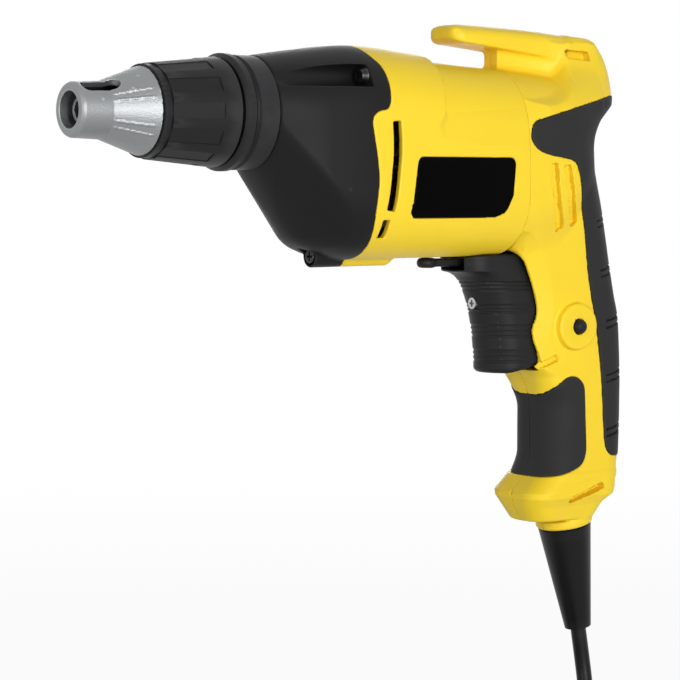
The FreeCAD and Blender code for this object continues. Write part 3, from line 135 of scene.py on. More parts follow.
def noiseShare(tree, vector, scale, detail):
    noise = addNode(tree, "ShaderNodeTexNoise")
    return feed(tree, noise, Vector=vector, Scale=scale, Detail=detail).outputs["Fac"]


def roughBetween(tree, start, share):
    span = mathNode(tree, "SUBTRACT", start.outputs["Rough High"], start.outputs["Rough Low"])
    part = mathNode(tree, "MULTIPLY", share, span)
    return mathNode(tree, "ADD", start.outputs["Rough Low"], part, True)


def seenDirectly(tree):
    path = addNode(tree, "ShaderNodeLightPath")
    seen = mathNode(tree, "MAXIMUM", path.outputs["Is Camera Ray"], path.outputs["Is Glossy Ray"])
    return mathNode(tree, "MAXIMUM", seen, path.outputs["Is Transmission Ray"])


def grainGroup():
    group, start, end = newGroup(
        "mouldGrain",
        [("Scale", number, 2200.0), ("Rough Low", number, 0.4), ("Rough High", number, 0.5),
         ("Speckle", number, 0.5)],
        [("Roughness", number), ("Height", number)],
    )
    spot, scale = objectSpot(group), start.outputs["Scale"]
    fine = noiseShare(group, spot, scale, groupSet["fineDetail"])
    cells = feed(group, addNode(group, "ShaderNodeTexVoronoi", feature="SMOOTH_F1"), Vector=spot, Scale=scale)
    speck = mathNode(group, "MULTIPLY", cells.outputs["Distance"], start.outputs["Speckle"])
    broad = noiseShare(group, spot, groupSet["broadScale"], groupSet["broadDetail"])
    feed(group, end, Roughness=roughBetween(group, start, broad), Height=mathNode(group, "ADD", fine, speck))
    return group


def wearGroup():
    group, start, end = newGroup(
        "edgeWear",
        [("Start", number, 0.52), ("Width", number, 0.06), ("Patch Scale", number, 90.0)],
        [("Mask", number)],
    )
    place = addNode(group, "ShaderNodeNewGeometry")
    patch = noiseShare(group, objectSpot(group), start.outputs["Patch Scale"], groupSet["patchDetail"])
    above = mathNode(group, "SUBTRACT", place.outputs["Pointiness"], start.outputs["Start"])
    ramp = mathNode(group, "DIVIDE", above, start.outputs["Width"], True)
    feed(group, end, Mask=mathNode(group, "MULTIPLY", ramp, patch, True))
    return group


def toneGroup():
    group, start, end = newGroup(
        "toneDrift",
        [("Base", colour, (0.5, 0.5, 0.5, 1)), ("Drift", colour, (0.4, 0.4, 0.4, 1)),
         ("Edge", colour, (0.7, 0.7, 0.7, 1)), ("Edge Mask", number, 0.0), ("Scale", number, 14.0)],
        [("Color", colour)],
    )
    given = start.outputs
    cloud = noiseShare(group, objectSpot(group), given["Scale"], groupSet["cloudDetail"])
    drifted = colourMix(group, cloud, given["Base"], given["Drift"])
    feed(group, end, Color=colourMix(group, given["Edge Mask"], drifted, given["Edge"]))
    return group


def brushGroup():
    group, start, end = newGroup(
        "turnedLines",
        [("Scale", number, 900.0), ("Rough Low", number, 0.2), ("Rough High", number, 0.4)],
        [("Roughness", number), ("Height", number)],
    )
    stretch = feed(group, addNode(group, "ShaderNodeMapping"), Vector=objectSpot(group), Scale=groupSet["lineStretch"])
    lines = noiseShare(group, stretch.outputs["Vector"], start.outputs["Scale"], groupSet["lineDetail"])
    feed(group, end, Roughness=roughBetween(group, start, lines), Height=lines)
    return group


groups = {"grain": grainGroup(), "wear": wearGroup(), "tone": toneGroup(), "lines": brushGroup()}


# one dictionary per finish: base, drift and edge colours, roughness, grain or line size and depth
finishDefault = {"wear": 0.52, "metal": 0.0, "bump": 0.6}
finishSet = {
    "yellowShell": {"base": (0.955, 0.690, 0.028), "drift": (0.935, 0.655, 0.024), "edge": (0.98, 0.76, 0.10),
                    "rough": (0.42, 0.52), "grain": 2600.0, "speckle": 0.3, "depth": 0.00002, "gloss": 0.34,
                    "wear": 0.74},
    "gearBlack": {"base": (0.0085, 0.0085, 0.009), "drift": (0.0065, 0.0065, 0.007), "edge": (0.03, 0.03, 0.031),
                  "rough": (0.44, 0.54), "grain": 2300.0, "speckle": 0.8, "depth": 0.00006, "gloss": 0.14},
    "darkPlastic": {"base": (0.012, 0.012, 0.013), "drift": (0.009, 0.009, 0.010), "edge": (0.036, 0.036, 0.038),
                    "rough": (0.40, 0.50), "grain": 2400.0, "speckle": 0.6, "depth": 0.00004, "gloss": 0.17},
    "gripRubber": {"base": (0.0165, 0.0165, 0.0175), "drift": (0.013, 0.013, 0.014), "edge": (0.04, 0.04, 0.041),
                   "rough": (0.62, 0.74), "grain": 1900.0, "speckle": 1.0, "depth": 0.00008, "gloss": 0.25},
    "plateBlack": {"base": (0.0009, 0.0009, 0.0010), "drift": (0.0007, 0.0007, 0.0008), "edge": (0.003, 0.003, 0.003),
                   "rough": (0.42, 0.50), "grain": 3000.0, "speckle": 0.2, "depth": 0.00001, "gloss": 0.02},
    "cordJacket": {"base": (0.006, 0.006, 0.0063), "drift": (0.0045, 0.0045, 0.0048), "edge": (0.02, 0.02, 0.021),
                   "rough": (0.32, 0.42), "grain": 1500.0, "speckle": 0.4, "depth": 0.00004, "gloss": 0.16},
    "coilEnamel": {"base": (0.38, 0.11, 0.035), "drift": (0.28, 0.075, 0.022), "edge": (0.5, 0.2, 0.08),
                   "rough": (0.28, 0.42), "grain": 700.0, "speckle": 0.9, "depth": 0.0002, "gloss": 0.5, "metal": 0.6},
    "pressedCarbon": {"base": (0.010, 0.010, 0.011), "drift": (0.016, 0.016, 0.017), "edge": (0.04, 0.04, 0.042),
                      "rough": (0.5, 0.7), "grain": 1400.0, "speckle": 1.0, "depth": 0.00006, "gloss": 0.4},
    "noseZinc": {"base": (0.31, 0.32, 0.325), "drift": (0.23, 0.24, 0.245), "edge": (0.56, 0.56, 0.565),
                 "rough": (0.38, 0.50), "grain": 2100.0, "speckle": 1.0, "depth": 0.00010, "gloss": 0.5, "metal": 0.92},
    "groundSteel": {"base": (0.40, 0.40, 0.41), "drift": (0.33, 0.33, 0.34), "edge": (0.60, 0.60, 0.61),
                    "rough": (0.22, 0.40), "lines": 800.0, "depth": 0.00003, "gloss": 0.5, "metal": 1.0},
    "blackSteel": {"base": (0.030, 0.030, 0.031), "drift": (0.022, 0.022, 0.023), "edge": (0.09, 0.09, 0.092),
                   "rough": (0.24, 0.38), "lines": 800.0, "depth": 0.00003, "gloss": 0.5, "metal": 0.8},
    "polishedSteel": {"base": (0.70, 0.70, 0.72), "drift": (0.64, 0.64, 0.66), "edge": (0.8, 0.8, 0.81),
                      "rough": (0.10, 0.18), "lines": 1400.0, "depth": 0.00001, "gloss": 0.5, "metal": 1.0},
    "stackedSheet": {"base": (0.34, 0.34, 0.36), "drift": (0.27, 0.27, 0.29), "edge": (0.5, 0.5, 0.52),
                     "rough": (0.38, 0.55), "lines": 2000.0, "depth": 0.0002, "gloss": 0.5, "metal": 1.0},
    "plainBrass": {"base": (0.72, 0.52, 0.20), "drift": (0.64, 0.45, 0.17), "edge": (0.85, 0.66, 0.32),
                   "rough": (0.22, 0.36), "lines": 900.0, "depth": 0.00003, "gloss": 0.5, "metal": 1.0},
    "turnedCopper": {"base": (0.78, 0.36, 0.20), "drift": (0.68, 0.29, 0.15), "edge": (0.9, 0.5, 0.32),
                     "rough": (0.20, 0.36), "lines": 1000.0, "depth": 0.00003, "gloss": 0.5, "metal": 1.0},
    "oiledBronze": {"base": (0.50, 0.34, 0.15), "drift": (0.40, 0.26, 0.11), "edge": (0.66, 0.48, 0.25),
                    "rough": (0.30, 0.50), "grain": 1500.0, "speckle": 1.0, "depth": 0.00005, "gloss": 0.5,
                    "metal": 1.0},
}


def makeFinish(name):
    spec = {**finishDefault, **finishSet[name]}
    material = bpy.data.materials.new(name)
    material.use_nodes = True
    tree = material.node_tree
    wear = feed(tree, addNode(tree, "ShaderNodeGroup", node_tree=groups["wear"]), Start=spec["wear"])
    tone = feed(tree, addNode(tree, "ShaderNodeGroup", node_tree=groups["tone"]), Edge_Mask=wear.outputs["Mask"])
    for label in ("base", "drift", "edge"):
        tone.inputs[label.capitalize()].default_value = (*spec[label], 1)
    kind = "lines" if "lines" in spec else "grain"
    surface = addNode(tree, "ShaderNodeGroup", node_tree=groups[kind])
    low, high = spec["rough"]
    feed(tree, surface, Scale=spec[kind], Rough_Low=low, Rough_High=high)
    if "speckle" in spec:
        feed(tree, surface, Speckle=spec["speckle"])
    bump = feed(tree, addNode(tree, "ShaderNodeBump"), Strength=spec["bump"], Distance=spec["depth"],
                Height=surface.outputs["Height"])
    feed(tree, tree.nodes["Principled BSDF"], Base_Color=tone.outputs["Color"],
         Roughness=surface.outputs["Roughness"], Normal=bump.outputs["Normal"],
         Specular_IOR_Level=spec["gloss"], Metallic=spec["metal"])
    return material


finishes = {name: makeFinish(name) for name in finishSet}
print("finishes made:", len(finishes))


# cord: the route's points, then the coil, on one spline
cordSet = {
    "diameter": 0.0068,
    "length": 1.87,
    "route": [(-5.88, 0, -105.73), (-8.78, 0, -121.55), (-8.03, 3.02, -133.86), (-4.30, 8.71, -144.59),
              (1.95, 16.42, -152.50), (10.04, 25.27, -156.70), (19.02, 34.25, -156.70)],
    "centre": (53.125, 2.0),  # from the route's end, before the coil is turned
    "turn": -45.0,
    "radius": 53.125,
    "step": 7.5,
    "inward": 14, "climb": 2, "outward": 13,  # quarter turns
    "perQuarter": 4,
    "order": 3, "between": 6, "around": 5,  # the spline's order and how finely it is meshed
    "tuck": 0.15,
    "tail": [(101.31, 27.27, -149.2), (108.38, 20.20, -149.2), (115.45, 13.13, -149.2)],
}


def coilSpot(quarter):
    count, climbing = cordSet["inward"], cordSet["climb"]
    climb = min(max(quarter - count, 0), climbing) / climbing
    inward = min(quarter, count)
    outward = max(quarter - count - climbing, 0)
    tuck = cordSet["tuck"] * math.sin(math.pi * climb)
    radius = cordSet["radius"] - cordSet["step"] * ((inward - outward) / 4 + tuck)
    angle = math.pi / 2 * quarter
    rise = cordSet["step"] * (1 - math.cos(math.pi * climb)) / 2
    u = cordSet["centre"][0] - radius * math.cos(angle)
    v = cordSet["centre"][1] + radius * math.sin(angle)
    turn = math.radians(cordSet["turn"])
    x, y, z = cordSet["route"][-1]
    return (x + u * math.cos(turn) - v * math.sin(turn), y + u * math.sin(turn) + v * math.cos(turn), z + rise)


def makeCord():
    spots = list(cordSet["route"])
    total = (cordSet["inward"] + cordSet["climb"] + cordSet["outward"]) * cordSet["perQuarter"]
    for i in range(total + 1):
        spots.append(coilSpot(i / cordSet["perQuarter"]))
    spots += cordSet["tail"]
    curve = bpy.data.curves.new("mainsCord", "CURVE")
    curve.dimensions = "3D"
    spline = curve.splines.new("NURBS")
    spline.points.add(len(spots) - 1)
    for point, spot in zip(spline.points, spots):
        point.co = (spot[0] * mm, spot[1] * mm, spot[2] * mm, 1)
    spline.order_u = cordSet["order"]
    spline.use_endpoint_u = True
    spline.resolution_u = cordSet["between"]
    curve.bevel_depth = cordSet["diameter"] / 2
    curve.bevel_resolution = cordSet["around"]
    curve.use_fill_caps = True
    curve.materials.append(finishes["cordJacket"])
    cord = bpy.data.objects.new("mainsCord", curve)
    scene.collection.objects.link(cord)
    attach(cord, "housing")
    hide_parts("power_cord", "cord_coil")


makeCord()
print("cord laid")


# smooth casings: distance fields in millimetres, negative inside, turned into closed meshes
# roundMax keeps what two fields share, roundMin joins them, both with a rounded edge of radius r
def roundMax(a, b, r):
    return np.minimum(np.maximum(a, b), -r) + np.hypot(np.maximum(a + r, 0), np.maximum(b + r, 0))


def roundMin(a, b, r):
    return -roundMax(-a, -b, r)


# a smooth curve through the rows of a table, without overshoot
def slide(rows, column, at):
    xs = np.array([row[0] for row in rows], float)
    ys = np.array([row[column] for row in rows], float)
    gaps = np.diff(xs)
    rates = np.diff(ys) / gaps
    slopes = np.zeros_like(ys)
    same = rates[:-1] * rates[1:] > 0
    total = np.where(same, rates[:-1] + rates[1:], 1)
    slopes[1:-1] = np.where(same, 2 * rates[:-1] * rates[1:] / total, 0)
    slopes[0], slopes[-1] = rates[0], rates[-1]
    i = np.clip(np.searchsorted(xs, at) - 1, 0, len(xs) - 2)
    t = np.clip((at - xs[i]) / gaps[i], 0, 1)
    return ((2 * t**3 - 3 * t**2 + 1) * ys[i] + (t**3 - 2 * t**2 + t) * gaps[i] * slopes[i]
            + (3 * t**2 - 2 * t**3) * ys[i + 1] + (t**3 - t**2) * gaps[i] * slopes[i + 1])


def roundedBox(u, v, halfU, halfV, corner):
    a = np.abs(u) - (halfU - corner)
    b = np.abs(v) - (halfV - corner)
    return np.hypot(np.maximum(a, 0), np.maximum(b, 0)) + np.minimum(np.maximum(a, b), 0) - corner


# cuts the corners of a line, round by round
def softLine(points, closed=True, rounds=2):
    spots = [np.array(p, float) for p in points]
    for _ in range(rounds):
        following = spots[1:] + spots[:1] if closed else spots[1:]
        cut = [] if closed else [spots[0]]
        for a, b in zip(spots, following):
            cut += [a * 0.75 + b * 0.25, a * 0.25 + b * 0.75]
        spots = cut if closed else cut + [spots[-1]]
    return [tuple(p) for p in spots]


def leastOf(fields):
    return functools.reduce(np.minimum, fields)


def legDistance(a, b, x, z):  # squared
    ex, ez = b[0] - a[0], b[1] - a[1]
    wx, wz = x - a[0], z - a[1]
    t = np.clip((wx * ex + wz * ez) / (ex * ex + ez * ez), 0, 1)
    return (wx - ex * t) ** 2 + (wz - ez * t) ** 2


def lineDistance(points, x, z):
    return np.sqrt(leastOf(legDistance(a, b, x, z) for a, b in zip(points, points[1:])))


def loopDistance(points, x, z):
    legs = [(a, b) for a, b in zip(points, points[1:] + points[:1]) if a != b]
    inside = False
    for (ax, az), (bx, bz) in legs:
        low, high, side = z >= az, z < bz, (bx - ax) * (z - az) > (bz - az) * (x - ax)
        inside = inside ^ ((low & high & side) | (~low & ~high & ~side))
    return np.where(inside, -1, 1) * np.sqrt(leastOf(legDistance(a, b, x, z) for a, b in legs))


slotEdge = 0.6


def slotArea(points, half, x, z):
    first, last = np.array(points[0]), np.array(points[-1])
    ahead = first - np.array(points[1])
    behind = last - np.array(points[-2])
    ahead = ahead / np.hypot(*ahead)
    behind = behind / np.hypot(*behind)
    line = [tuple(first + ahead * half)] + list(points[1:-1]) + [tuple(last + behind * half)]
    side = lineDistance(line, x, z) - half
    top = (x - first[0]) * ahead[0] + (z - first[1]) * ahead[1]
    end = (x - last[0]) * behind[0] + (z - last[1]) * behind[1]
    return roundMax(side, np.maximum(top, end), slotEdge)


def easeStep(t):
    t = np.clip(t, 0, 1)
    return t * t * (3 - 2 * t)


# one point per cell that the surface crosses, then moved onto the surface along the field's slope
netSet = {"nudge": 0.04, "leastSlope": 0.05, "stride": 0.5, "rounds": 2, "leastMove": 1e-9, "leastNormal": 1e-6}


def netMesh(name, field, box, step):
    low = np.array(box[0], float)
    counts = [int(math.ceil((h - l) / step)) + 2 for l, h in zip(low, box[1])]
    axes = [l + step * np.arange(n) for l, n in zip(low, counts)]
    values = field(axes[0][:, None, None], axes[1][None, :, None], axes[2][None, None, :])
    values = np.broadcast_to(values, counts).astype(np.float32)
    inside = values < 0
    size = np.array(counts) - 1
    corners = [(i, j, k) for i in (0, 1) for j in (0, 1) for k in (0, 1)]
    total = np.zeros(size, np.int8)
    for i, j, k in corners:
        total += inside[i:i + size[0], j:j + size[1], k:k + size[2]]
    active = (total > 0) & (total < 8)
    numbers = np.full(size, -1, np.int64)
    cells = np.argwhere(active)
    numbers[active] = np.arange(len(cells))
    sums = np.zeros((len(cells), 3))
    hits = np.zeros(len(cells))
    for a in corners:
        for axis in range(3):
            if a[axis]:
                continue
            b = list(a)
            b[axis] = 1
            va = values[tuple((cells + a).T)]
            vb = values[tuple((cells + b).T)]
            crossing = (va < 0) != (vb < 0)
            t = np.where(crossing, va / np.where(crossing, va - vb, 1), 0)
            spot = np.tile(np.array(a, float), (len(cells), 1))
            spot[:, axis] += t
            sums += spot * crossing[:, None]
            hits += crossing
    points = low + step * (cells + sums / hits[:, None])
    quads = []
    for axis in range(3):
        first = [slice(None)] * 3
        second = [slice(None)] * 3
        first[axis] = slice(0, -1)
        second[axis] = slice(1, None)
        here, there = inside[tuple(first)], inside[tuple(second)]
        spots = np.argwhere(here != there)
        u, v = (axis + 1) % 3, (axis + 2) % 3
        keep = (spots[:, u] > 0) & (spots[:, v] > 0) & (spots[:, u] < size[u]) & (spots[:, v] < size[v])
        spots = spots[keep]
        stepU, stepV = np.eye(3, dtype=int)[u], np.eye(3, dtype=int)[v]
        ring = [spots, spots - stepU, spots - stepU - stepV, spots - stepV]
        quad = np.stack([numbers[tuple(c.T)] for c in ring], 1)
        outward = here[tuple(spots.T)]
        quads.append(np.where(outward[:, None], quad, quad[:, ::-1]))
    quads = np.concatenate(quads)
    nudge = netSet["nudge"]

    def slopesAt(p):
        columns = []
        for axis in range(3):
            shift = np.zeros(3)
            shift[axis] = nudge
            ahead, behind = p + shift, p - shift
            columns.append((field(*ahead.T) - field(*behind.T)) / (2 * nudge))
        return np.stack(columns, 1)

    for _ in range(netSet["rounds"]):
        slopes = slopesAt(points)
        scale = np.maximum((slopes**2).sum(1), netSet["leastSlope"])
        move = -slopes * (field(*points.T) / scale)[:, None]
        length = np.maximum(np.linalg.norm(move, axis=1), netSet["leastMove"])
        points = points + move * np.minimum(1, netSet["stride"] * step / length)[:, None]
    slopes = slopesAt(points)
    normals = slopes / np.maximum(np.linalg.norm(slopes, axis=1), netSet["leastNormal"])[:, None]
    mesh = bpy.data.meshes.new(name)
    mesh.from_pydata((points * mm).tolist(), [], quads.tolist())
    mesh.polygons.foreach_set("use_smooth", np.ones(len(quads), bool))
    mesh.normals_split_custom_set_from_vertices(normals.tolist())
    print(name, "points", len(points), "faces", len(quads))
    return mesh


def placePiece(mesh, finish, body, slot, *nodes):
    mesh.materials.clear()
    mesh.materials.append(finishes[finish])
    piece = bpy.data.objects.new(mesh.name, mesh)
    scene.collection.objects.link(piece)
    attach(piece, body)
    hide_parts(*nodes)
    return piece


# sections of the barrel along X: half width, top, bottom, corner
barrelSet = {
    "rows": [(-4.0, 12.6, 138.2, 104.3, 8.0), (4.0, 22.5, 138.6, 91.6, 18.0), (25.7, 28.65, 139.2, 63.1, 25.2),
             (49.5, 30.0, 139.8, 59.15, 26.5), (86.0, 31.0, 141.7, 59.15, 26.5), (127.0, 31.0, 144.9, 59.15, 26.5),
             (150.4, 28.6, 142.7, 65.75, 26.5), (171.0, 22.4, 139.9, 95.1, 22.0)],
    "wall": 2.6,
    "spindle": 117.5,
    "motor": 98.75,
    "jointLine": [(128.3, 150.0), (125.7, 140.2), (123.2, 136.5), (122.8, 129.3), (123.5, 122.0), (125.0, 118.8),
                  (129.8, 118.4), (133.0, 115.2), (131.8, 108.8), (129.9, 98.7), (129.2, 90.3), (130.8, 79.5),
                  (128.5, 67.1), (127.0, 60.0), (125.7, 45.0)],
    "beyond": [(300.0, 45.0), (300.0, 150.0)],
    "edge": 0.35, "gap": 0.03,
}


def barrelField(x, y, z):
    rows = barrelSet["rows"]
    half, top, bottom, corner = (slide(rows, i, x) for i in (1, 2, 3, 4))
    return roundedBox(y, z - (top + bottom) / 2, half, (top - bottom) / 2, corner)


frontLoop = softLine(barrelSet["jointLine"], closed=False) + barrelSet["beyond"]


# gear case with its screw grooves, lower boss and spigot
gearSet = {
    "front": 171.0, "cavity": 161.6, "spigot": 16.9, "spigotEnd": 184.0, "bore": 9.25,
    "ringGroove": (176.6, 178.4, 15.15),
    "groove": {"side": 22.0, "height": 132.1, "radius": 4.4, "end": 130.6, "round": 0.6, "past": 1.0},
    "boss": {"height": 60.55, "radius": 4.4, "front": 141.3, "head": 3.6, "sink": 2.8, "hole": 2.15, "wall": 0.9},
    "bow": {"tilt": 0.73, "spread": 1.0, "keel": 14.0, "reach": 117.16, "round": 1.8},
    "blend": {"cavity": 1.5, "groove": 1.0, "front": 1.2, "bossFront": 0.8, "boss": 1.2, "grooveEdge": 0.7,
              "inside": 0.3},
    "box": ((121, -33, 52), (186, 33, 148)), "step": 0.62,
}


def bowField(x, y, z):
    w = gearSet["bow"]
    size = math.sqrt(1 + w["spread"] ** 2 + w["tilt"] ** 2)
    return (x + w["spread"] * np.hypot(y, w["keel"]) - w["tilt"] * z - w["reach"]) / size


def grooveField(x, y, z):
    g = gearSet["groove"]
    inward = np.minimum(np.abs(y) - g["side"], 0)
    return roundMax(np.hypot(inward, z - g["height"]) - g["radius"], g["end"] - x, g["round"])


def upperTurn(y, z):
    return np.hypot(np.abs(y) - gearSet["groove"]["side"], z - gearSet["groove"]["height"])


def gearField(x, y, z):
    b, g, blend = gearSet["boss"], gearSet["groove"], gearSet["blend"]
    out = roundMax(barrelField(x, y, z), bowField(x, y, z), gearSet["bow"]["round"])
    groove = grooveField(x, y, z)
    lower = np.hypot(y, z - b["height"])
    room = roundMax(out + barrelSet["wall"], x - gearSet["cavity"], blend["cavity"])
    room = roundMax(room, barrelSet["wall"] - groove, blend["groove"])
    body = roundMax(out, x - gearSet["front"], blend["front"])
    boss = roundMax(lower - b["radius"], x - b["front"], blend["bossFront"])
    body = roundMin(body, boss, blend["boss"])
    body = roundMax(body, -groove, blend["grooveEdge"])
    body = roundMax(body, -np.maximum(room, -boss - b["wall"]), blend["inside"])
    body = roundMax(body, loopDistance(frontLoop, x, z) + barrelSet["gap"], barrelSet["edge"])
    turn = np.hypot(y, z - barrelSet["spindle"])
    spigot = np.maximum(turn - gearSet["spigot"], np.maximum(gearSet["cavity"] - x, x - gearSet["spigotEnd"]))
    x0, x1, floor = gearSet["ringGroove"]
    ring = np.maximum(np.maximum(x0 - x, x - x1), floor - turn)
    body = np.minimum(body, np.maximum(spigot, -ring))
    body = np.maximum(body, gearSet["bore"] - turn)
    head = np.maximum(lower - b["head"], b["front"] - b["sink"] - x)
    upperHole = np.maximum(upperTurn(y, z) - b["hole"], x - g["end"] - g["past"])
    return np.maximum(body, -leastOf([head, lower - b["hole"], upperHole]))


placePiece(netMesh("gearCaseShell", gearField, gearSet["box"], gearSet["step"]),
           "gearBlack", "housing", "black_plastic", "gear_case")
print("gear case made")


# field case with its recess, vents and label pocket
fieldSet = {
    "seam": 49.5, "seamGap": 0.06, "thinWall": 1.9, "inside": 0.3,
    "recess": {"depth": 2.3, "low": ((50.0, 102.4), (98.5, 107.9)), "high": ((49.6, 120.7), (96.2, 117.9)),
               "front": [(99.6, 107.0), (100.1, 112.3), (96.5, 117.9), (95.0, 125.9), (93.8, 133.3), (92.3, 138.8),
                         (90.0, 146.0)],
               "ramp": ([115.0, 120.0], [5.0, 1.5])},  # by height: soft beside the facet, crisp above it
    "vents": [([(120.7, 114.4), (120.2, 107.5), (120.2, 101.0), (121.4, 90.0), (123.1, 79.0)], 2.1),
              ([(124.2, 75.4), (123.9, 68.3)], 1.8)],
    "ventFloor": 18, "ventEdge": 0.5,
    "label": [(107.1, 97.5), (61.1, 97.3), (62.3, 85.6), (64.9, 80.1), (68.6, 78.7), (109.8, 78.9)],
    "labelRound": 2.8, "labelEdge": 0.35, "labelProud": 0.4, "labelDeep": 1.1, "labelGap": (0.12, 0.1), "labelFrom": 5,
    "foot": (100.7, 4.4, 60.55), "footRound": 3.0, "footBlend": 1.5, "footWall": 0.9,
    "postFrom": 105, "screwHole": 2.1,
    "box": ((48, -33, 52), (135, 33, 148)), "step": 0.7,
    "labelBox": ((56, 24, 73), (116, 33, 103)), "labelStep": 0.3,
}


def labelArea(x, z):
    return loopDistance(fieldSet["label"], x, z) - fieldSet["labelRound"]


def lineHeight(a, b, x):
    return a[1] + (b[1] - a[1]) * (x - a[0]) / (b[0] - a[0])


def recessDepth(x, z):
    r = fieldSet["recess"]
    low, high = lineHeight(*r["low"], x), lineHeight(*r["high"], x)
    facet = np.clip((z - low) / (high - low), 0, 1)
    rows = [(height, reach) for reach, height in r["front"]]
    edge = slide(rows, 1, np.clip(z, rows[0][0], rows[-1][0]))
    return r["depth"] * facet * easeStep((edge - x) / np.interp(z, *r["ramp"]))


def fieldField(x, y, z):
    f = fieldSet
    plain = barrelField(x, y, z)
    out = plain + recessDepth(x, z)
    footX, footRadius, footHeight = f["foot"]
    lower, upper = np.hypot(y, z - footHeight), upperTurn(y, z)
    foot = roundMax(lower - footRadius, footX - x, f["footRound"])
    body = roundMin(out, foot, f["footBlend"])
    post = np.maximum(upper - gearSet["groove"]["radius"], f["postFrom"] - x)
    room = np.maximum(np.maximum(plain + barrelSet["wall"], out + f["thinWall"]), -post)
    body = roundMax(body, -np.maximum(room, -foot - f["footWall"]), f["inside"])
    body = roundMax(body, -loopDistance(frontLoop, x, z) + barrelSet["gap"], barrelSet["edge"])
    body = roundMax(body, f["seam"] + f["seamGap"] - x, barrelSet["edge"])
    vents = leastOf(slotArea(points, half, x, z) for points, half in f["vents"])
    body = roundMax(body, -np.maximum(vents, f["ventFloor"] - np.abs(y)), f["ventEdge"])
    aside, below = f["labelGap"]
    pocket = np.maximum(labelArea(x, z) - aside, f["labelProud"] - f["labelDeep"] - below - plain)
    body = np.maximum(body, -np.maximum(pocket, -y))
    holes = np.minimum(lower, upper) - f["screwHole"]
    return np.maximum(body, -np.maximum(holes, f["postFrom"] - x))


def labelField(x, y, z):
    f = fieldSet
    plain = barrelField(x, y, z)
    plate = roundMax(labelArea(x, z), plain - f["labelProud"], f["labelEdge"])
    return np.maximum(np.maximum(plate, f["labelProud"] - f["labelDeep"] - plain), f["labelFrom"] - y)


placePiece(netMesh("fieldCaseShell", fieldField, fieldSet["box"], fieldSet["step"]),
           "yellowShell", "housing", "yellow_plastic", "field_case")
placePiece(netMesh("labelPlate", labelField, fieldSet["labelBox"], fieldSet["labelStep"]),
           "plateBlack", "housing", "label_black", "label_plate")
print("field case and label made")


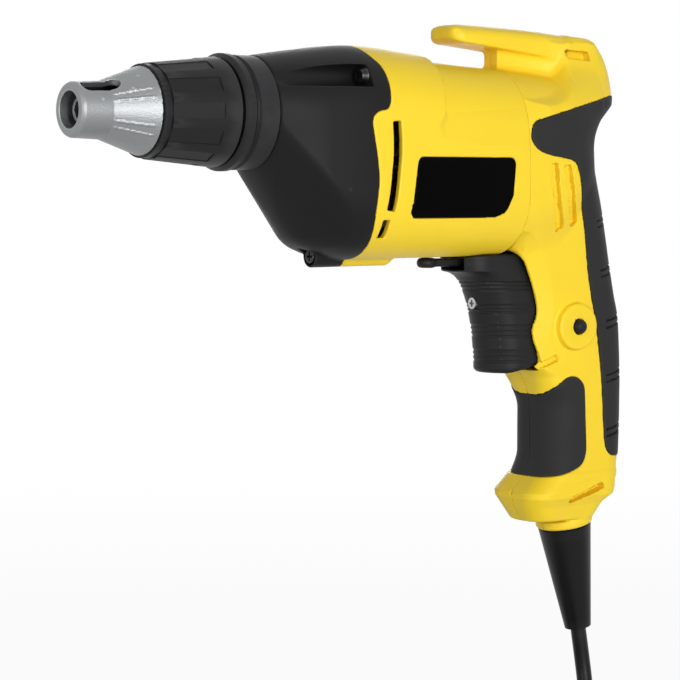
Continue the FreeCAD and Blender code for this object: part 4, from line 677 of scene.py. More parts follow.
# handle halves: sections by height, rear, front, half width, rear and front plan corners
handleSet = {
    "rows": [(-37.95, -19.0, 26.5, 16.4, 12.0, 12.0), (-26.0, -21.4, 22.8, 16.0, 13.2, 13.2),
             (-8.0, -22.0, 22.8, 16.0, 13.2, 13.2), (6.0, -21.2, 27.6, 16.2, 12.0, 9.0),
             (14.0, -20.6, 36.0, 16.4, 12.0, 5.0), (28.0, -19.3, 41.0, 16.6, 12.0, 5.0),
             (43.9, -16.1, 44.0, 17.4, 12.0, 5.0), (60.0, -11.8, 47.0, 19.8, 13.2, 7.0),
             (78.0, -8.8, 48.6, 23.4, 19.0, 14.0), (98.0, -4.4, 49.2, 25.6, 22.0, 20.0),
             (117.5, -2.0, 49.2, 24.5, 20.0, 20.0)],
    "base": [(-57.0, -7.4, 27.6, 12.2, 10.0, 10.0), (-49.2, -11.6, 32.0, 14.8, 10.0, 10.0),
             (-45.5, -16.2, 33.4, 17.0, 10.0, 10.0), (-43.0, -16.8, 33.6, 17.3, 10.0, 10.0),
             (-35.0, -19.2, 25.2, 16.4, 11.5, 10.0)],
    "ends": (-37.95, 122.0), "baseEnds": (-56.0, -35.4), "front": 49.44, "barrelRear": -4.0,
    "wall": 2.5, "leastWall": 1.6, "roomFoot": -37.0, "toe": (17.0, -29.0),
    "tail": [(17.0, 152.6), (-4.0, 151.6), (-6.2, 150.0), (-9.6, 144.0), (-12.6, 136.0), (-15.8, 126.5),
             (-10.0, 119.5), (-4.0, 112.5), (1.0, 106.0), (17.0, 106.0)],
    "tailHalf": [(104.0, 25.0), (112.0, 24.5), (120.0, 23.0), (127.0, 20.5), (135.0, 16.6), (144.0, 13.0),
                 (150.0, 11.0), (153.0, 10.2)],
    "tailRun": (-17.5, 60.0), "tailRound": 0.82, "tailSolid": 3.0,
    # how far the rear corners reach, by height
    "corner": [(32.0, 24.0), (41.0, 20.6), (57.0, 17.5), (67.0, 15.7), (79.4, 13.7), (86.4, 12.2), (92.0, 11.1),
               (96.8, 10.25), (101.0, 9.65), (104.5, 9.5), (108.7, 9.8), (113.2, 10.95), (116.4, 12.3), (119.5, 14.4),
               (121.5, 15.8), (123.4, 17.0), (126.0, 17.3), (128.2, 17.4), (132.4, 16.9), (138.0, 15.8), (143.6, 14.0),
               (147.8, 11.9), (150.2, 10.4), (152.0, 9.2)],
    "cornerWay": (-0.729, 0.685),
    "scoop": [(64.0, 121.0), (49.5, 120.7), (39.0, 121.0), (30.0, 122.2), (22.0, 127.0), (17.4, 134.5), (16.4, 142.0),
              (16.6, 160.0), (64.0, 160.0)],
    "scoopDeep": 3.6, "scoopRamp": 4.5, "scoopRun": (24.0, 49.5), "scoopGrow": 3.0, "recessRun": (38.0, 11.5),
    "hook": {"tip": 73.8, "rear": -60.0, "half": 10.0, "tipRound": 6.0, "edge": 1.2,
             "side": [(73.8, 155.6), (60.0, 155.4), (25.8, 154.2), (-3.0, 151.6), (-3.0, 139.5), (16.5, 142.2),
                      (30.0, 143.8), (58.5, 146.9), (73.8, 148.1)],
             "crown": ([-3.0, 25.8, 60.0, 73.8], [151.6, 154.2, 155.4, 155.5]), "crownWide": 4.2, "crownTilt": 35.0},
    "post": {"rear": -2.0, "front": 46.2, "foot": 130.0, "top": 148.5,
             "half": [(12.0, 11.0), (17.0, 10.6), (20.0, 9.6), (24.0, 8.0), (30.0, 6.4), (37.0, 5.2), (46.2, 4.4)]},
    "rearSlot": {"line": [(14.5, 144.6), (1.6, 143.6)], "half": 1.8, "deep": 4.0},
    "baseSlot": {"line": [(13.0, -46.5), (-4.0, -41.5)], "half": 1.3, "floor": 12.5},
    "mouthSlot": {"line": [(36.0, 10.8), (30.1, 12.6), (26.3, 13.8), (21.8, 15.4)], "half": 1.25, "floor": 14.6},
    "vents": {"lines": [[(35.7, 97.8), (34.8, 88.7), (32.7, 79.8), (27.3, 70.3)],
                        [(28.0, 97.1), (26.3, 88.6), (23.4, 80.4), (18.3, 72.2)]], "half": 2.1, "deep": 3.2},
    "mouth": [(64.0, 62.8), (50.5, 62.8), (45.3, 61.6), (41.8, 58.6), (37.4, 51.5), (33.4, 42.5), (31.4, 34.4),
              (34.4, 29.4), (34.5, 24.2), (31.2, 17.0), (30.4, 12.9), (38.0, 10.6), (46.0, 8.7), (64.0, 8.7)],
    "room": (18.0, 13.5, 8.7, 60.0), "roomLift": (37.5, 0.2),
    "lipDepth": ([12.0, 20.0, 26.0, 45.0, 60.0], [0.1, 1.2, 1.7, 2.0, 2.8]), "lipWide": 7.4, "lipFrom": 6.0,
    "lockBoss": {"x": 13.0, "z": 28.5, "radius": 10.0, "wide": 1.06, "face": 20.4, "hole": 3.45},
    "rubber": 1.9, "rubberTop": 4.0, "proud": 0.5,
    "slotBacking": (3.4, 1.8, 2.5), "gripBacking": (0.9, 1.5, 3.0),  # extra wall, its start in runs, and the run
    "guard": {"foot": (2.6, -59.5), "lean": 10.4, "rim": 12.4, "rimLength": 4.0, "neck": 8.7, "neckTo": 20.0,
              "flange": 10.5, "flangeFrom": 5.9, "flangeTo": 10.1},
    "screws": [(2.3, 130.4), (40.0, 132.2), (-6.0, 58.2), (17.0, 2.35), (-12.0, -18.2), (22.1, -44.1)],
    "screwHole": (2.95, 9.0),
    "seam": 0.02,
    "blend": {"foot": 0.5, "top": 12.0, "barrelEnd": 6.0, "barrel": 4.5, "tailEdge": 2.2, "tail": 3.5, "corner": 4.0,
              "crown": 1.5, "baseFoot": 1.2, "baseTop": 0.6, "base": 1.5, "rim": 1.2, "post": 3.0, "hook": 2.2,
              "bossEdge": 1.3, "boss": 1.0, "inside": 0.3, "mouth": 0.5, "rubber": 0.25, "cut": 0.3, "seam": 0.22},
    "box": ((-24, -62), (78, 156)), "step": 0.72,
}
mouthLoop = softLine(handleSet["mouth"])
tailLoop = softLine(handleSet["tail"])
hookLoop = softLine(handleSet["hook"]["side"])
scoopLoop = softLine(handleSet["scoop"])


def straight(rows, column, at):
    return np.interp(at, [row[0] for row in rows], [row[column] for row in rows])


def sectionField(pick, rows, x, y, z):
    rear, front, half, behind, ahead = (pick(rows, i, z) for i in (1, 2, 3, 4, 5))
    along = x - (rear + front) / 2
    return roundedBox(along, y, (front - rear) / 2, half, np.where(along > 0, ahead, behind))


def scoopDepth(x, z, grow):
    h = handleSet
    scoop = easeStep((grow - loopDistance(scoopLoop, x, z)) / h["scoopRamp"])
    deep = np.interp(x, h["scoopRun"], [h["scoopDeep"], fieldSet["recess"]["depth"]])
    start, run = h["recessRun"]
    return np.maximum(scoop * deep, recessDepth(x, z) * np.clip((x - start) / run, 0, 1))


def rearBody(x, y, z, grow=0.0):
    h, blend = handleSet, handleSet["blend"]
    foot, top = h["ends"]
    column = sectionField(slide, h["rows"], x, y, z)
    column = roundMax(column, z - top, blend["top"])
    column = roundMax(column, foot - z, blend["foot"])
    barrel = roundMax(barrelField(x, y, z), h["barrelRear"] - x, blend["barrelEnd"])
    body = roundMin(column, barrel, blend["barrel"])
    half = slide(h["tailHalf"], 1, z)
    rear, front = h["tailRun"]
    plan = roundedBox(x - (rear + front) / 2, y, (front - rear) / 2, half, h["tailRound"] * half)
    tail = roundMax(loopDistance(tailLoop, x, z), plan, blend["tailEdge"])
    body = roundMin(body, tail, blend["tail"])
    along, aside = h["cornerWay"]
    corner = along * x + aside * np.abs(y) - slide(h["corner"], 1, z)
    return roundMax(body, corner, blend["corner"]) + scoopDepth(x, z, grow)


def hookField(x, y, z):
    k = handleSet["hook"]
    plan = roundedBox(x - (k["tip"] + k["rear"]) / 2, y, (k["tip"] - k["rear"]) / 2, k["half"], k["tipRound"])
    body = roundMax(loopDistance(hookLoop, x, z), plan, k["edge"])
    tilt = math.radians(k["crownTilt"])
    above, beside = z - np.interp(x, *k["crown"]), np.abs(y) - k["half"] + k["crownWide"]
    return roundMax(body, above * math.cos(tilt) + beside * math.sin(tilt), handleSet["blend"]["crown"])


def guardSpot(x, z):
    g = handleSet["guard"]
    lean = math.radians(g["lean"])
    dx, dz = x - g["foot"][0], z - g["foot"][1]
    return dx * math.cos(lean) - dz * math.sin(lean), dx * math.sin(lean) + dz * math.cos(lean)


def guardSeat(x, y, z):
    g = handleSet["guard"]
    u, w = guardSpot(x, z)
    turn = np.hypot(u, y)
    flange = np.maximum(turn - g["flange"], np.maximum(g["flangeFrom"] - w, w - g["flangeTo"]))
    return np.minimum(np.maximum(turn - g["neck"], w - g["neckTo"]), flange)


def outerBody(body, x, y, z):
    h, blend = handleSet, handleSet["blend"]
    foot, top = h["baseEnds"]
    base = sectionField(straight, h["base"], x, y, z)
    base = roundMax(roundMax(base, foot - z, blend["baseFoot"]), z - top, blend["baseTop"])
    body = roundMin(body, base, blend["base"])
    u, w = guardSpot(x, z)
    half = h["guard"]["rimLength"] / 2
    rim = roundMax(np.hypot(u, y) - h["guard"]["rim"], np.abs(w - half) - half, blend["rim"])
    body = roundMin(body, rim, blend["rim"])
    body = roundMax(body, x - h["front"], barrelSet["edge"])
    p = h["post"]
    post = np.maximum(np.abs(y) - slide(p["half"], 1, x), np.maximum(x - p["front"], p["rear"] - x))
    post = np.maximum(post, np.maximum(z - p["top"], p["foot"] - z))
    body = roundMin(body, post, blend["post"])
    body = roundMin(body, hookField(x, y, z), blend["hook"])
    k = h["lockBoss"]
    boss = roundMax(np.hypot((x - k["x"]) / k["wide"], z - k["z"]) - k["radius"], y - k["face"], blend["bossEdge"])
    return roundMin(body, np.maximum(boss, -y), blend["boss"])


# rubber grips: outlines from the side, and pairs of notches in the rear ones
gripSet = {
    "rear": [(-30.0, 127.6), (-10.0, 127.6), (-4.5, 126.9), (20.0, 121.7), (42.8, 116.5), (47.0, 114.4), (48.7, 110.8),
             (48.5, 107.0), (45.8, 103.9), (41.0, 101.8), (27.0, 99.9), (22.8, 98.4), (21.2, 94.8), (19.0, 87.6),
             (12.2, 71.5), (8.1, 57.3), (4.8, 46.0), (0.9, 33.1), (-2.6, 15.9), (-4.6, -1.7), (-5.6, -19.2),
             (-6.8, -26.2), (-10.8, -29.4), (-30.0, -29.4)],
    "front": [(40.0, -2.2), (25.0, -2.2), (23.4, -0.4), (21.8, 2.2), (17.8, 5.8), (13.8, 7.0), (9.7, 6.4), (6.2, 3.3),
              (5.5, -1.1), (4.8, -18.5), (4.3, -26.2), (6.8, -31.8), (13.1, -34.2), (21.9, -36.2), (40.0, -37.4)],
    "notches": [77.3, 54.6, 31.3, 7.5, -16.4],
    "notchEnd": [(-16.4, -7.0), (31.3, -5.5), (54.6, 0.5), (77.3, 6.5)], "notchLean": 0.22, "notchFrom": -18.0,
    "notchGap": 1.5, "notchHalf": 0.5, "notchDepth": 0.6, "notchRound": 0.3,
    "gap": 0.08, "edge": 0.7, "under": 0.06, "seamEdge": 0.25,
    "rearBox": ((-24, -32), (50, 130)), "frontBox": ((1, -39), (36, 10)), "step": 0.62,
}
rearLoop = softLine(gripSet["rear"])
frontGripLoop = softLine(gripSet["front"])


def gripArea(x, z):
    return np.minimum(loopDistance(rearLoop, x, z), loopDistance(frontGripLoop, x, z))


def switchRoom(x, y, z):
    inner, half, low, high = handleSet["room"]
    start, rise = handleSet["roomLift"]
    floor = low + rise * np.maximum(start - x, 0)
    return np.maximum(np.maximum(inner - x, np.abs(y) - half), np.maximum(floor - z, z - high))


def backing(spec, area):
    extra, start, run = spec
    return extra * easeStep(start - area / run)


def handleField(x, y, z):
    h, blend = handleSet, handleSet["blend"]
    rear = rearBody(x, y, z)
    lip = loopDistance(mouthLoop, x, z)
    out = outerBody(rear, x, y, z)
    slope = np.interp(z, *h["lipDepth"]) * np.clip(1 - lip / h["lipWide"], 0, 1)
    out = out + slope * (np.abs(y) > h["lipFrom"])
    v, r, b, m = h["vents"], h["rearSlot"], h["baseSlot"], h["mouthSlot"]
    vents = leastOf(slotArea(line, v["half"], x, z) for line in v["lines"])
    pocket = slotArea(m["line"], m["half"], x, z)
    grips = gripArea(x, z)
    room = rearBody(x, y, z, h["scoopGrow"]) + h["wall"] + backing(h["slotBacking"], np.minimum(vents, pocket))
    room = room + backing(h["gripBacking"], grips)
    room = np.maximum(room, h["tailSolid"] - loopDistance(tailLoop, x, z))
    room = np.maximum(room, out + h["leastWall"])
    toeX, toeZ = h["toe"]
    room = np.maximum(np.maximum(room, h["roomFoot"] - z), np.minimum(x - toeX, toeZ - z))
    body = roundMax(out, -room, blend["inside"])
    body = np.maximum(body, -guardSeat(x, y, z))
    body = roundMax(body, -np.minimum(lip, switchRoom(x, y, z)), blend["mouth"])
    rubber = np.maximum(grips, -rear - h["rubber"])
    body = roundMax(body, -np.maximum(rubber, rear - h["rubberTop"]), blend["rubber"])
    for cut in (np.maximum(vents, -rear - v["deep"]),
                np.maximum(slotArea(r["line"], r["half"], x, z), -rear - r["deep"]),
                np.maximum(lineDistance(b["line"], x, z) - b["half"], b["floor"] - np.abs(y)),
                np.maximum(pocket, m["floor"] - np.abs(y))):
        body = roundMax(body, -cut, blend["cut"])
    k = h["lockBoss"]
    body = np.maximum(body, -np.maximum(np.hypot(x - k["x"], z - k["z"]) - k["hole"], -y))
    radius, deep = h["screwHole"]
    for screwX, screwZ in h["screws"]:
        body = np.maximum(body, -np.maximum(np.hypot(x - screwX, z - screwZ) - radius, y + deep))
    return body


def halfField(side):
    def field(x, y, z):
        return roundMax(handleField(x, y, z), handleSet["seam"] - side * y, handleSet["blend"]["seam"])
    return field


def gripField(side, loop, notched):
    g, h = gripSet, handleSet

    def field(x, y, z):
        rear = rearBody(x, y, z)
        out = rear - h["proud"]
        if notched:
            end = x - slide(g["notchEnd"], 1, z)
            for height in g["notches"]:
                for shift in (-g["notchGap"], g["notchGap"]):
                    across = np.abs(z - height - shift + g["notchLean"] * (x - g["notchFrom"])) - g["notchHalf"]
                    groove = np.maximum(np.maximum(across, end), -rear - g["notchDepth"])
                    out = roundMax(out, -groove, g["notchRound"])
        pad = roundMax(out, loopDistance(loop, x, z) + g["gap"], g["edge"])
        pad = np.maximum(pad, -rear - h["rubber"] + g["under"])
        return roundMax(pad, h["seam"] - side * y, g["seamEdge"])
    return field


halfRuns = {"Left": (1, (-1.5, 33)), "Right": (-1, (-33, 1.5))}  # side, and run across the middle


def halfBox(box, run):
    return [(x, y, z) for (x, z), y in zip(box, run)]


for word, (side, run) in halfRuns.items():
    placePiece(netMesh("handle" + word, halfField(side), halfBox(handleSet["box"], run), handleSet["step"]),
               "yellowShell", "housing", "yellow_plastic", "handle_" + word.lower())
print("handle halves made")

for word, (side, run) in halfRuns.items():
    for name, loop, notched in (("rear", rearLoop, True), ("front", frontGripLoop, False)):
        placePiece(netMesh(name + "Grip" + word, gripField(side, loop, notched), halfBox(gripSet[name + "Box"], run),
                           gripSet["step"]), "gripRubber", "housing", "black_rubber", name + "_grip_" + word.lower())
print("rubber grips made")


# trigger with its fine ribs, cheeks beside the lever and a lip under it
triggerSet = {
    "front": [(9.3, 51.0), (18.14, 51.48), (27.86, 52.68), (38.03, 55.08), (46.43, 58.68), (50.0, 61.4), (52.0, 65.0),
              (53.0, 69.0), (59.0, 69.5)],
    "half": 13.1, "rear": 25.0, "low": 9.3, "lift": (44.0, 0.2), "high": 53.5, "wall": 2.6, "keel": 5.6,
    "cheekTop": 60.2, "cheekDrop": 5, "clear": 0.5,
    "hub": (44.0, 50.5, 10.5), "arm": (3.7, 0.16),  # room for the lever over the trigger's travel
    "ribs": [(49.2, 44.2), (39.1, 34.5), (30.3, 24.0), (19.7, 13.4)], "ribDepth": 0.42, "ribCount": 3,
    "ribFrom": 33.0, "ribRamp": 3,
    "screw": (39.0, 2.45, 48.3),
    "blend": {"bottom": 2.2, "top": 0.9, "cheek": 1.6, "lever": 0.6, "barrel": 0.5, "rear": 0.6},
    "box": ((23, -15, 7), (72, 15, 61)), "step": 0.4,
}


def triggerField(x, y, z):
    t, blend = triggerSet, triggerSet["blend"]
    front = slide(t["front"], 1, z)
    nose = np.hypot(np.maximum(x - (front - t["half"]), 0), y) - t["half"]
    wave = 0
    for above, below in t["ribs"]:
        share = (z - below) / (above - below)
        swing = 0.5 - 0.5 * np.cos(2 * math.pi * t["ribCount"] * share)
        wave = wave + np.where((share > 0) & (share < 1), swing, 0)
    low = t["low"] + t["lift"][1] * np.maximum(t["lift"][0] - x, 0)
    skin = nose + t["ribDepth"] * wave * np.clip((x - t["ribFrom"]) / t["ribRamp"], 0, 1)
    body = roundMax(roundMax(skin, low - z, blend["bottom"]), z - t["high"], blend["top"])
    rear, ahead, radius = t["hub"]
    gap, spread = t["arm"]
    hub = np.hypot(x - np.clip(x, rear, ahead), y) - radius
    arm = np.maximum(np.abs(y) - gap - spread * (x - rear), rear - x)
    cheek = roundMax(roundMax(nose, z - t["cheekTop"], blend["cheek"]), -np.minimum(hub, arm), blend["lever"])
    cheek = roundMax(cheek, t["clear"] - barrelField(x, y, z), blend["barrel"])
    body = np.minimum(body, np.maximum(cheek, t["high"] - t["cheekDrop"] - z))
    room = np.maximum(np.maximum(nose + t["wall"], z - t["high"] + t["wall"]), t["keel"] - np.abs(y))
    room = np.maximum(room, low + t["wall"] - z)
    body = np.maximum(body, -np.maximum(room, x - front + t["wall"]))
    body = roundMax(body, t["rear"] - x, blend["rear"])
    height, radius, reach = t["screw"]
    return np.maximum(body, -np.maximum(np.hypot(y, z - height) - radius, reach - x))


placePiece(netMesh("triggerBody", triggerField, triggerSet["box"], triggerSet["step"]),
           "darkPlastic", "trigger_body", "dark_plastic", "trigger")

# reverse lever and lock button, softly rounded
leverSet = {
    "pivot": 44.0, "hub": 9.9, "arm": 3.0, "tip": 81.0, "knob": 3.9, "low": 55.0, "high": 58.4, "swell": 0.4,
    "pin": (2.9, 62.4), "pinFoot": 1, "edge": 1.0, "knobEdge": 1.9, "armBlend": 2.0, "knobBlend": 0.8,
    "box": ((32, -12, 52), (87, 12, 64)), "step": 0.4,
}
lockSet = {
    "x": 13.0, "z": 28.5, "radius": 3.2, "rear": 12.4, "top": 23.1, "dome": 2.6, "collar": 4.3, "collarThick": 1.4,
    "edge": 0.3, "box": ((7, 11, 22), (19, 26, 35)), "step": 0.3,
}


def leverField(x, y, z):
    v = leverSet
    middle, thick = (v["low"] + v["high"]) / 2, (v["high"] - v["low"]) / 2
    flat = np.abs(z - middle) - thick
    turn = np.hypot(x - v["pivot"], y)
    hub = roundMax(turn - v["hub"], flat, v["edge"])
    arm = roundMax(np.maximum(np.abs(y) - v["arm"], np.maximum(v["pivot"] - x, x - v["tip"])), flat, v["edge"])
    knob = roundMax(np.hypot(x - v["tip"], y) - v["knob"], flat - v["swell"], v["knobEdge"])
    radius, top = v["pin"]
    pin = np.maximum(turn - radius, np.maximum(v["high"] - v["pinFoot"] - z, z - top))
    return roundMin(np.minimum(roundMin(hub, arm, v["armBlend"]), pin), knob, v["knobBlend"])


def lockField(x, y, z):
    k = lockSet
    turn = np.hypot(x - k["x"], z - k["z"])
    stem = roundMax(turn - k["radius"], y - k["top"], k["dome"])
    collar = np.maximum(turn - k["collar"], y - k["rear"] - k["collarThick"])
    return roundMax(np.minimum(stem, collar), k["rear"] - y, k["edge"])


placePiece(netMesh("reverseLever", leverField, leverSet["box"], leverSet["step"]),
           "darkPlastic", "lever", "dark_plastic", "reverse_lever")
placePiece(netMesh("lockButton", lockField, lockSet["box"], lockSet["step"]),
           "darkPlastic", "lock", "dark_plastic", "lock_button")
print("trigger, lever and lock made")


# nose cone: turned profile, side window and fine raised lines
noseSet = {
    "outer": ([221.0, 238.8, 250.6, 251.4, 252.0], [17.1, 11.0, 10.5, 10.1, 9.4]),
    "inner": ([221.0, 223.1, 238.8, 248.0, 248.0, 253.0], [12.1, 12.1, 8.5, 8.5, 7.0, 7.0]),
    "ends": (221.0, 252.0), "slant": 0.95, "tipEdge": 0.5, "rearEdge": 0.3, "cutEdge": 0.4,
    "sleeve": (198.0, 224.0, 14.2, 12.1),
    "window": {"turn": 31.0, "from": 236.8, "to": 246.4, "half": 3.2},
    "lines": [58.0, 72.0, 112.0, 126.0, -58.0, -72.0, -112.0, -126.0], "lineHigh": 0.28, "lineHalf": 0.5,
    "lineFlank": 1.5, "lineRun": (222.5, 2, 240, 4),
    "box": ((197, -18.5, 99), (253.5, 18.5, 136)), "step": 0.46,
}


def noseField(x, y, z):
    n = noseSet
    up = z - barrelSet["spindle"]
    turn = np.hypot(y, up)
    outer = np.interp(x, *n["outer"])
    angle = np.arctan2(y, up)
    ridge = 0
    for line in n["lines"]:
        away = (angle - math.radians(line)) * turn
        ridge = np.maximum(ridge, easeStep(n["lineFlank"] - np.abs(away) / n["lineHalf"]))
    start, rise, stop, fall = n["lineRun"]
    ridge = ridge * n["lineHigh"] * easeStep((x - start) / rise) * easeStep((stop - x) / fall)
    rear, tip = n["ends"]
    cone = roundMax(roundMax((turn - outer - ridge) * n["slant"], x - tip, n["tipEdge"]), rear - x, n["rearEdge"])
    sleeveRear, sleeveFront, radius, bore = n["sleeve"]
    sleeve = np.maximum(np.maximum(turn - radius, sleeveRear - x), x - sleeveFront)
    inner = np.where(x < rear, bore, np.interp(x, *n["inner"]))
    body = roundMax(np.minimum(cone, sleeve), inner - turn, n["cutEdge"])
    w = n["window"]
    lean = math.radians(w["turn"])
    across = y * math.cos(lean) - up * math.sin(lean)
    above = y * math.sin(lean) + up * math.cos(lean)
    hole = np.hypot(x - np.clip(x, w["from"], w["to"]), across) - w["half"]
    return roundMax(body, -np.maximum(hole, -above), n["cutEdge"])


placePiece(netMesh("noseCone", noseField, noseSet["box"], noseSet["step"]),
           "noseZinc", "nose", "cast_metal", "nose_cone")
print("nose cone made")


# Geometry Nodes: screws, balls, springs and windings; how finely each is meshed
meshSet = {"headSides": 40, "headRings": 4, "shankSides": 28, "threadSteps": 18, "threadSides": 4, "ballSides": 28,
           "ballRings": 16, "springSteps": 40, "springSides": 12, "wireSides": 6, "sharpAngle": 38}


def newTree(name, inputs):
    tree = bpy.data.node_groups.new(name, "GeometryNodeTree")
    tree.interface.new_socket("Geometry", in_out="INPUT", socket_type="NodeSocketGeometry")
    for label, kind, value in inputs:
        socket = tree.interface.new_socket(label, in_out="INPUT", socket_type="NodeSocket" + kind)
        socket.default_value = value
    tree.interface.new_socket("Finish", in_out="INPUT", socket_type="NodeSocketMaterial")
    tree.interface.new_socket("Geometry", in_out="OUTPUT", socket_type="NodeSocketGeometry")
    start = tree.nodes.new("NodeGroupInput")
    end = tree.nodes.new("NodeGroupOutput")
    return tree, start, end


def endTree(tree, start, end, shape):
    real = addNode(tree, "GeometryNodeRealizeInstances")
    paint = addNode(tree, "GeometryNodeSetMaterial")
    tree.links.new(shape, real.inputs["Geometry"])
    tree.links.new(real.outputs["Geometry"], paint.inputs["Geometry"])
    tree.links.new(start.outputs["Finish"], paint.inputs["Material"])
    tree.links.new(paint.outputs["Geometry"], end.inputs["Geometry"])
    return tree


def joinAll(tree, *shapes):
    join = addNode(tree, "GeometryNodeJoinGeometry")
    for shape in shapes:
        tree.links.new(shape, join.inputs["Geometry"])
    return join.outputs["Geometry"]


def upBy(tree, height):
    spot = addNode(tree, "ShaderNodeCombineXYZ")
    tree.links.new(height, spot.inputs["Z"])
    return spot.outputs["Vector"]


def made(tree, kind, output, **values):
    return feed(tree, addNode(tree, kind), **values).outputs[output]


def moved(tree, shape, **values):
    return made(tree, "GeometryNodeTransform", "Geometry", Geometry=shape, **values)


def copied(tree, points, shape, **values):
    return made(tree, "GeometryNodeInstanceOnPoints", "Instances", Points=points, Instance=shape, **values)


def ringCurve(tree, sides, radius):
    return made(tree, "GeometryNodeCurvePrimitiveCircle", "Curve", Resolution=sides, Radius=radius)


def spiralTube(tree, steps, sides, turns, radius, length, wire):
    path = made(tree, "GeometryNodeCurveSpiral", "Curve", Resolution=steps, Rotations=turns, Start_Radius=radius,
                End_Radius=radius, Height=length)
    return made(tree, "GeometryNodeCurveToMesh", "Mesh", Curve=path, Profile_Curve=ringCurve(tree, sides, wire),
                Fill_Caps=True)


def screwTree():
    tree, start, end = newTree("crossScrew", [
        ("Head Radius", "Float", 0.003), ("Head Top", "Float", 0.0024), ("Head Height", "Float", 0.002),
        ("Shank Radius", "Float", 0.0015), ("Shank Length", "Float", 0.015), ("Thread Turns", "Float", 10.0),
        ("Thread Length", "Float", 0.012), ("Thread Size", "Float", 0.0002), ("Cross Long", "Float", 0.003),
        ("Cross Wide", "Float", 0.0007), ("Cross Deep", "Float", 0.0016), ("Turn", "Vector", (0, 0, 0))])
    given = start.outputs
    head = made(tree, "GeometryNodeMeshCone", "Mesh", Vertices=meshSet["headSides"],
                Side_Segments=meshSet["headRings"], Radius_Bottom=given["Head Radius"],
                Radius_Top=given["Head Top"], Depth=given["Head Height"])
    recess = addNode(tree, "GeometryNodeMeshBoolean", operation="DIFFERENCE")
    tree.links.new(head, recess.inputs["Mesh 1"])
    for first, second in (("Cross Long", "Cross Wide"), ("Cross Wide", "Cross Long")):
        size = made(tree, "ShaderNodeCombineXYZ", "Vector", X=given[first], Y=given[second], Z=given["Cross Deep"])
        bar = made(tree, "GeometryNodeMeshCube", "Mesh", Size=size)
        bar = moved(tree, bar, Translation=upBy(tree, given["Head Height"]))
        tree.links.new(bar, recess.inputs["Mesh 2"])
    down = upBy(tree, mathNode(tree, "MULTIPLY", given["Shank Length"], -1.0))
    shank = made(tree, "GeometryNodeMeshCone", "Mesh", Vertices=meshSet["shankSides"],
                 Radius_Bottom=given["Shank Radius"], Radius_Top=given["Shank Radius"], Depth=given["Shank Length"])
    thread = spiralTube(tree, meshSet["threadSteps"], meshSet["threadSides"], given["Thread Turns"],
                        given["Shank Radius"], given["Thread Length"], given["Thread Size"])
    screw = joinAll(tree, recess.outputs["Mesh"], moved(tree, shank, Translation=down),
                    moved(tree, thread, Translation=down))
    return endTree(tree, start, end, copied(tree, given["Geometry"], screw, Rotation=given["Turn"]))


def ballTree():
    tree, start, end = newTree("bearingBalls", [
        ("Count", "Int", 7), ("Front Place", "Vector", (0, 0, 0)), ("Front Pitch", "Float", 0.0075),
        ("Front Ball", "Float", 0.0018), ("Rear Place", "Vector", (0, 0, 0)), ("Rear Pitch", "Float", 0.0065),
        ("Rear Ball", "Float", 0.0013)])
    given = start.outputs
    rings = []
    for word in ("Front", "Rear"):
        ring = made(tree, "GeometryNodeMeshCircle", "Mesh", Vertices=given["Count"], Radius=given[word + " Pitch"])
        spots = moved(tree, ring, Translation=given[word + " Place"], Rotation=(0, -math.pi / 2, 0))
        ball = made(tree, "GeometryNodeMeshUVSphere", "Mesh", Segments=meshSet["ballSides"],
                    Rings=meshSet["ballRings"], Radius=given[word + " Ball"])
        rings.append(copied(tree, spots, ball))
    return endTree(tree, start, end, joinAll(tree, *rings))


def springTree():
    tree, start, end = newTree("woundSpring", [
        ("Turns", "Float", 4.0), ("Radius", "Float", 0.005), ("Length", "Float", 0.007), ("Wire", "Float", 0.00045),
        ("Turn", "Vector", (0, 0, 0))])
    given = start.outputs
    coil = spiralTube(tree, meshSet["springSteps"], meshSet["springSides"], given["Turns"], given["Radius"],
                      given["Length"], given["Wire"])
    return endTree(tree, start, end, copied(tree, given["Geometry"], coil, Rotation=given["Turn"]))


def windingTree():
    tree, start, end = newTree("woundWire", [
        ("Wire", "Float", 0.0004), ("Rows", "Int", 4), ("Columns", "Int", 4), ("Deep", "Float", 0.002),
        ("Wide", "Float", 0.002), ("Coils", "Int", 12), ("Step", "Float", 0.5236), ("Centre", "Vector", (0, 0, 0))])
    given = start.outputs
    path = made(tree, "GeometryNodeMeshToCurve", "Curve", Mesh=given["Geometry"])
    grid = made(tree, "GeometryNodeMeshGrid", "Mesh", Size_X=given["Deep"], Size_Y=given["Wide"],
                Vertices_X=given["Rows"], Vertices_Y=given["Columns"])
    wires = copied(tree, grid, ringCurve(tree, meshSet["wireSides"], given["Wire"]))
    bundle = made(tree, "GeometryNodeRealizeInstances", "Geometry", Geometry=wires)
    coil = made(tree, "GeometryNodeCurveToMesh", "Mesh", Curve=path, Profile_Curve=bundle)
    spots = made(tree, "GeometryNodeMeshLine", "Mesh", Count=given["Coils"], Offset=(0, 0, 0))
    index = addNode(tree, "GeometryNodeInputIndex").outputs["Index"]
    turn = made(tree, "ShaderNodeCombineXYZ", "Vector", X=mathNode(tree, "MULTIPLY", index, given["Step"]))
    coils = copied(tree, spots, coil, Rotation=turn)
    return endTree(tree, start, end, moved(tree, coils, Translation=given["Centre"]))


trees = {"screw": screwTree(), "ball": ballTree(), "spring": springTree(), "winding": windingTree()}


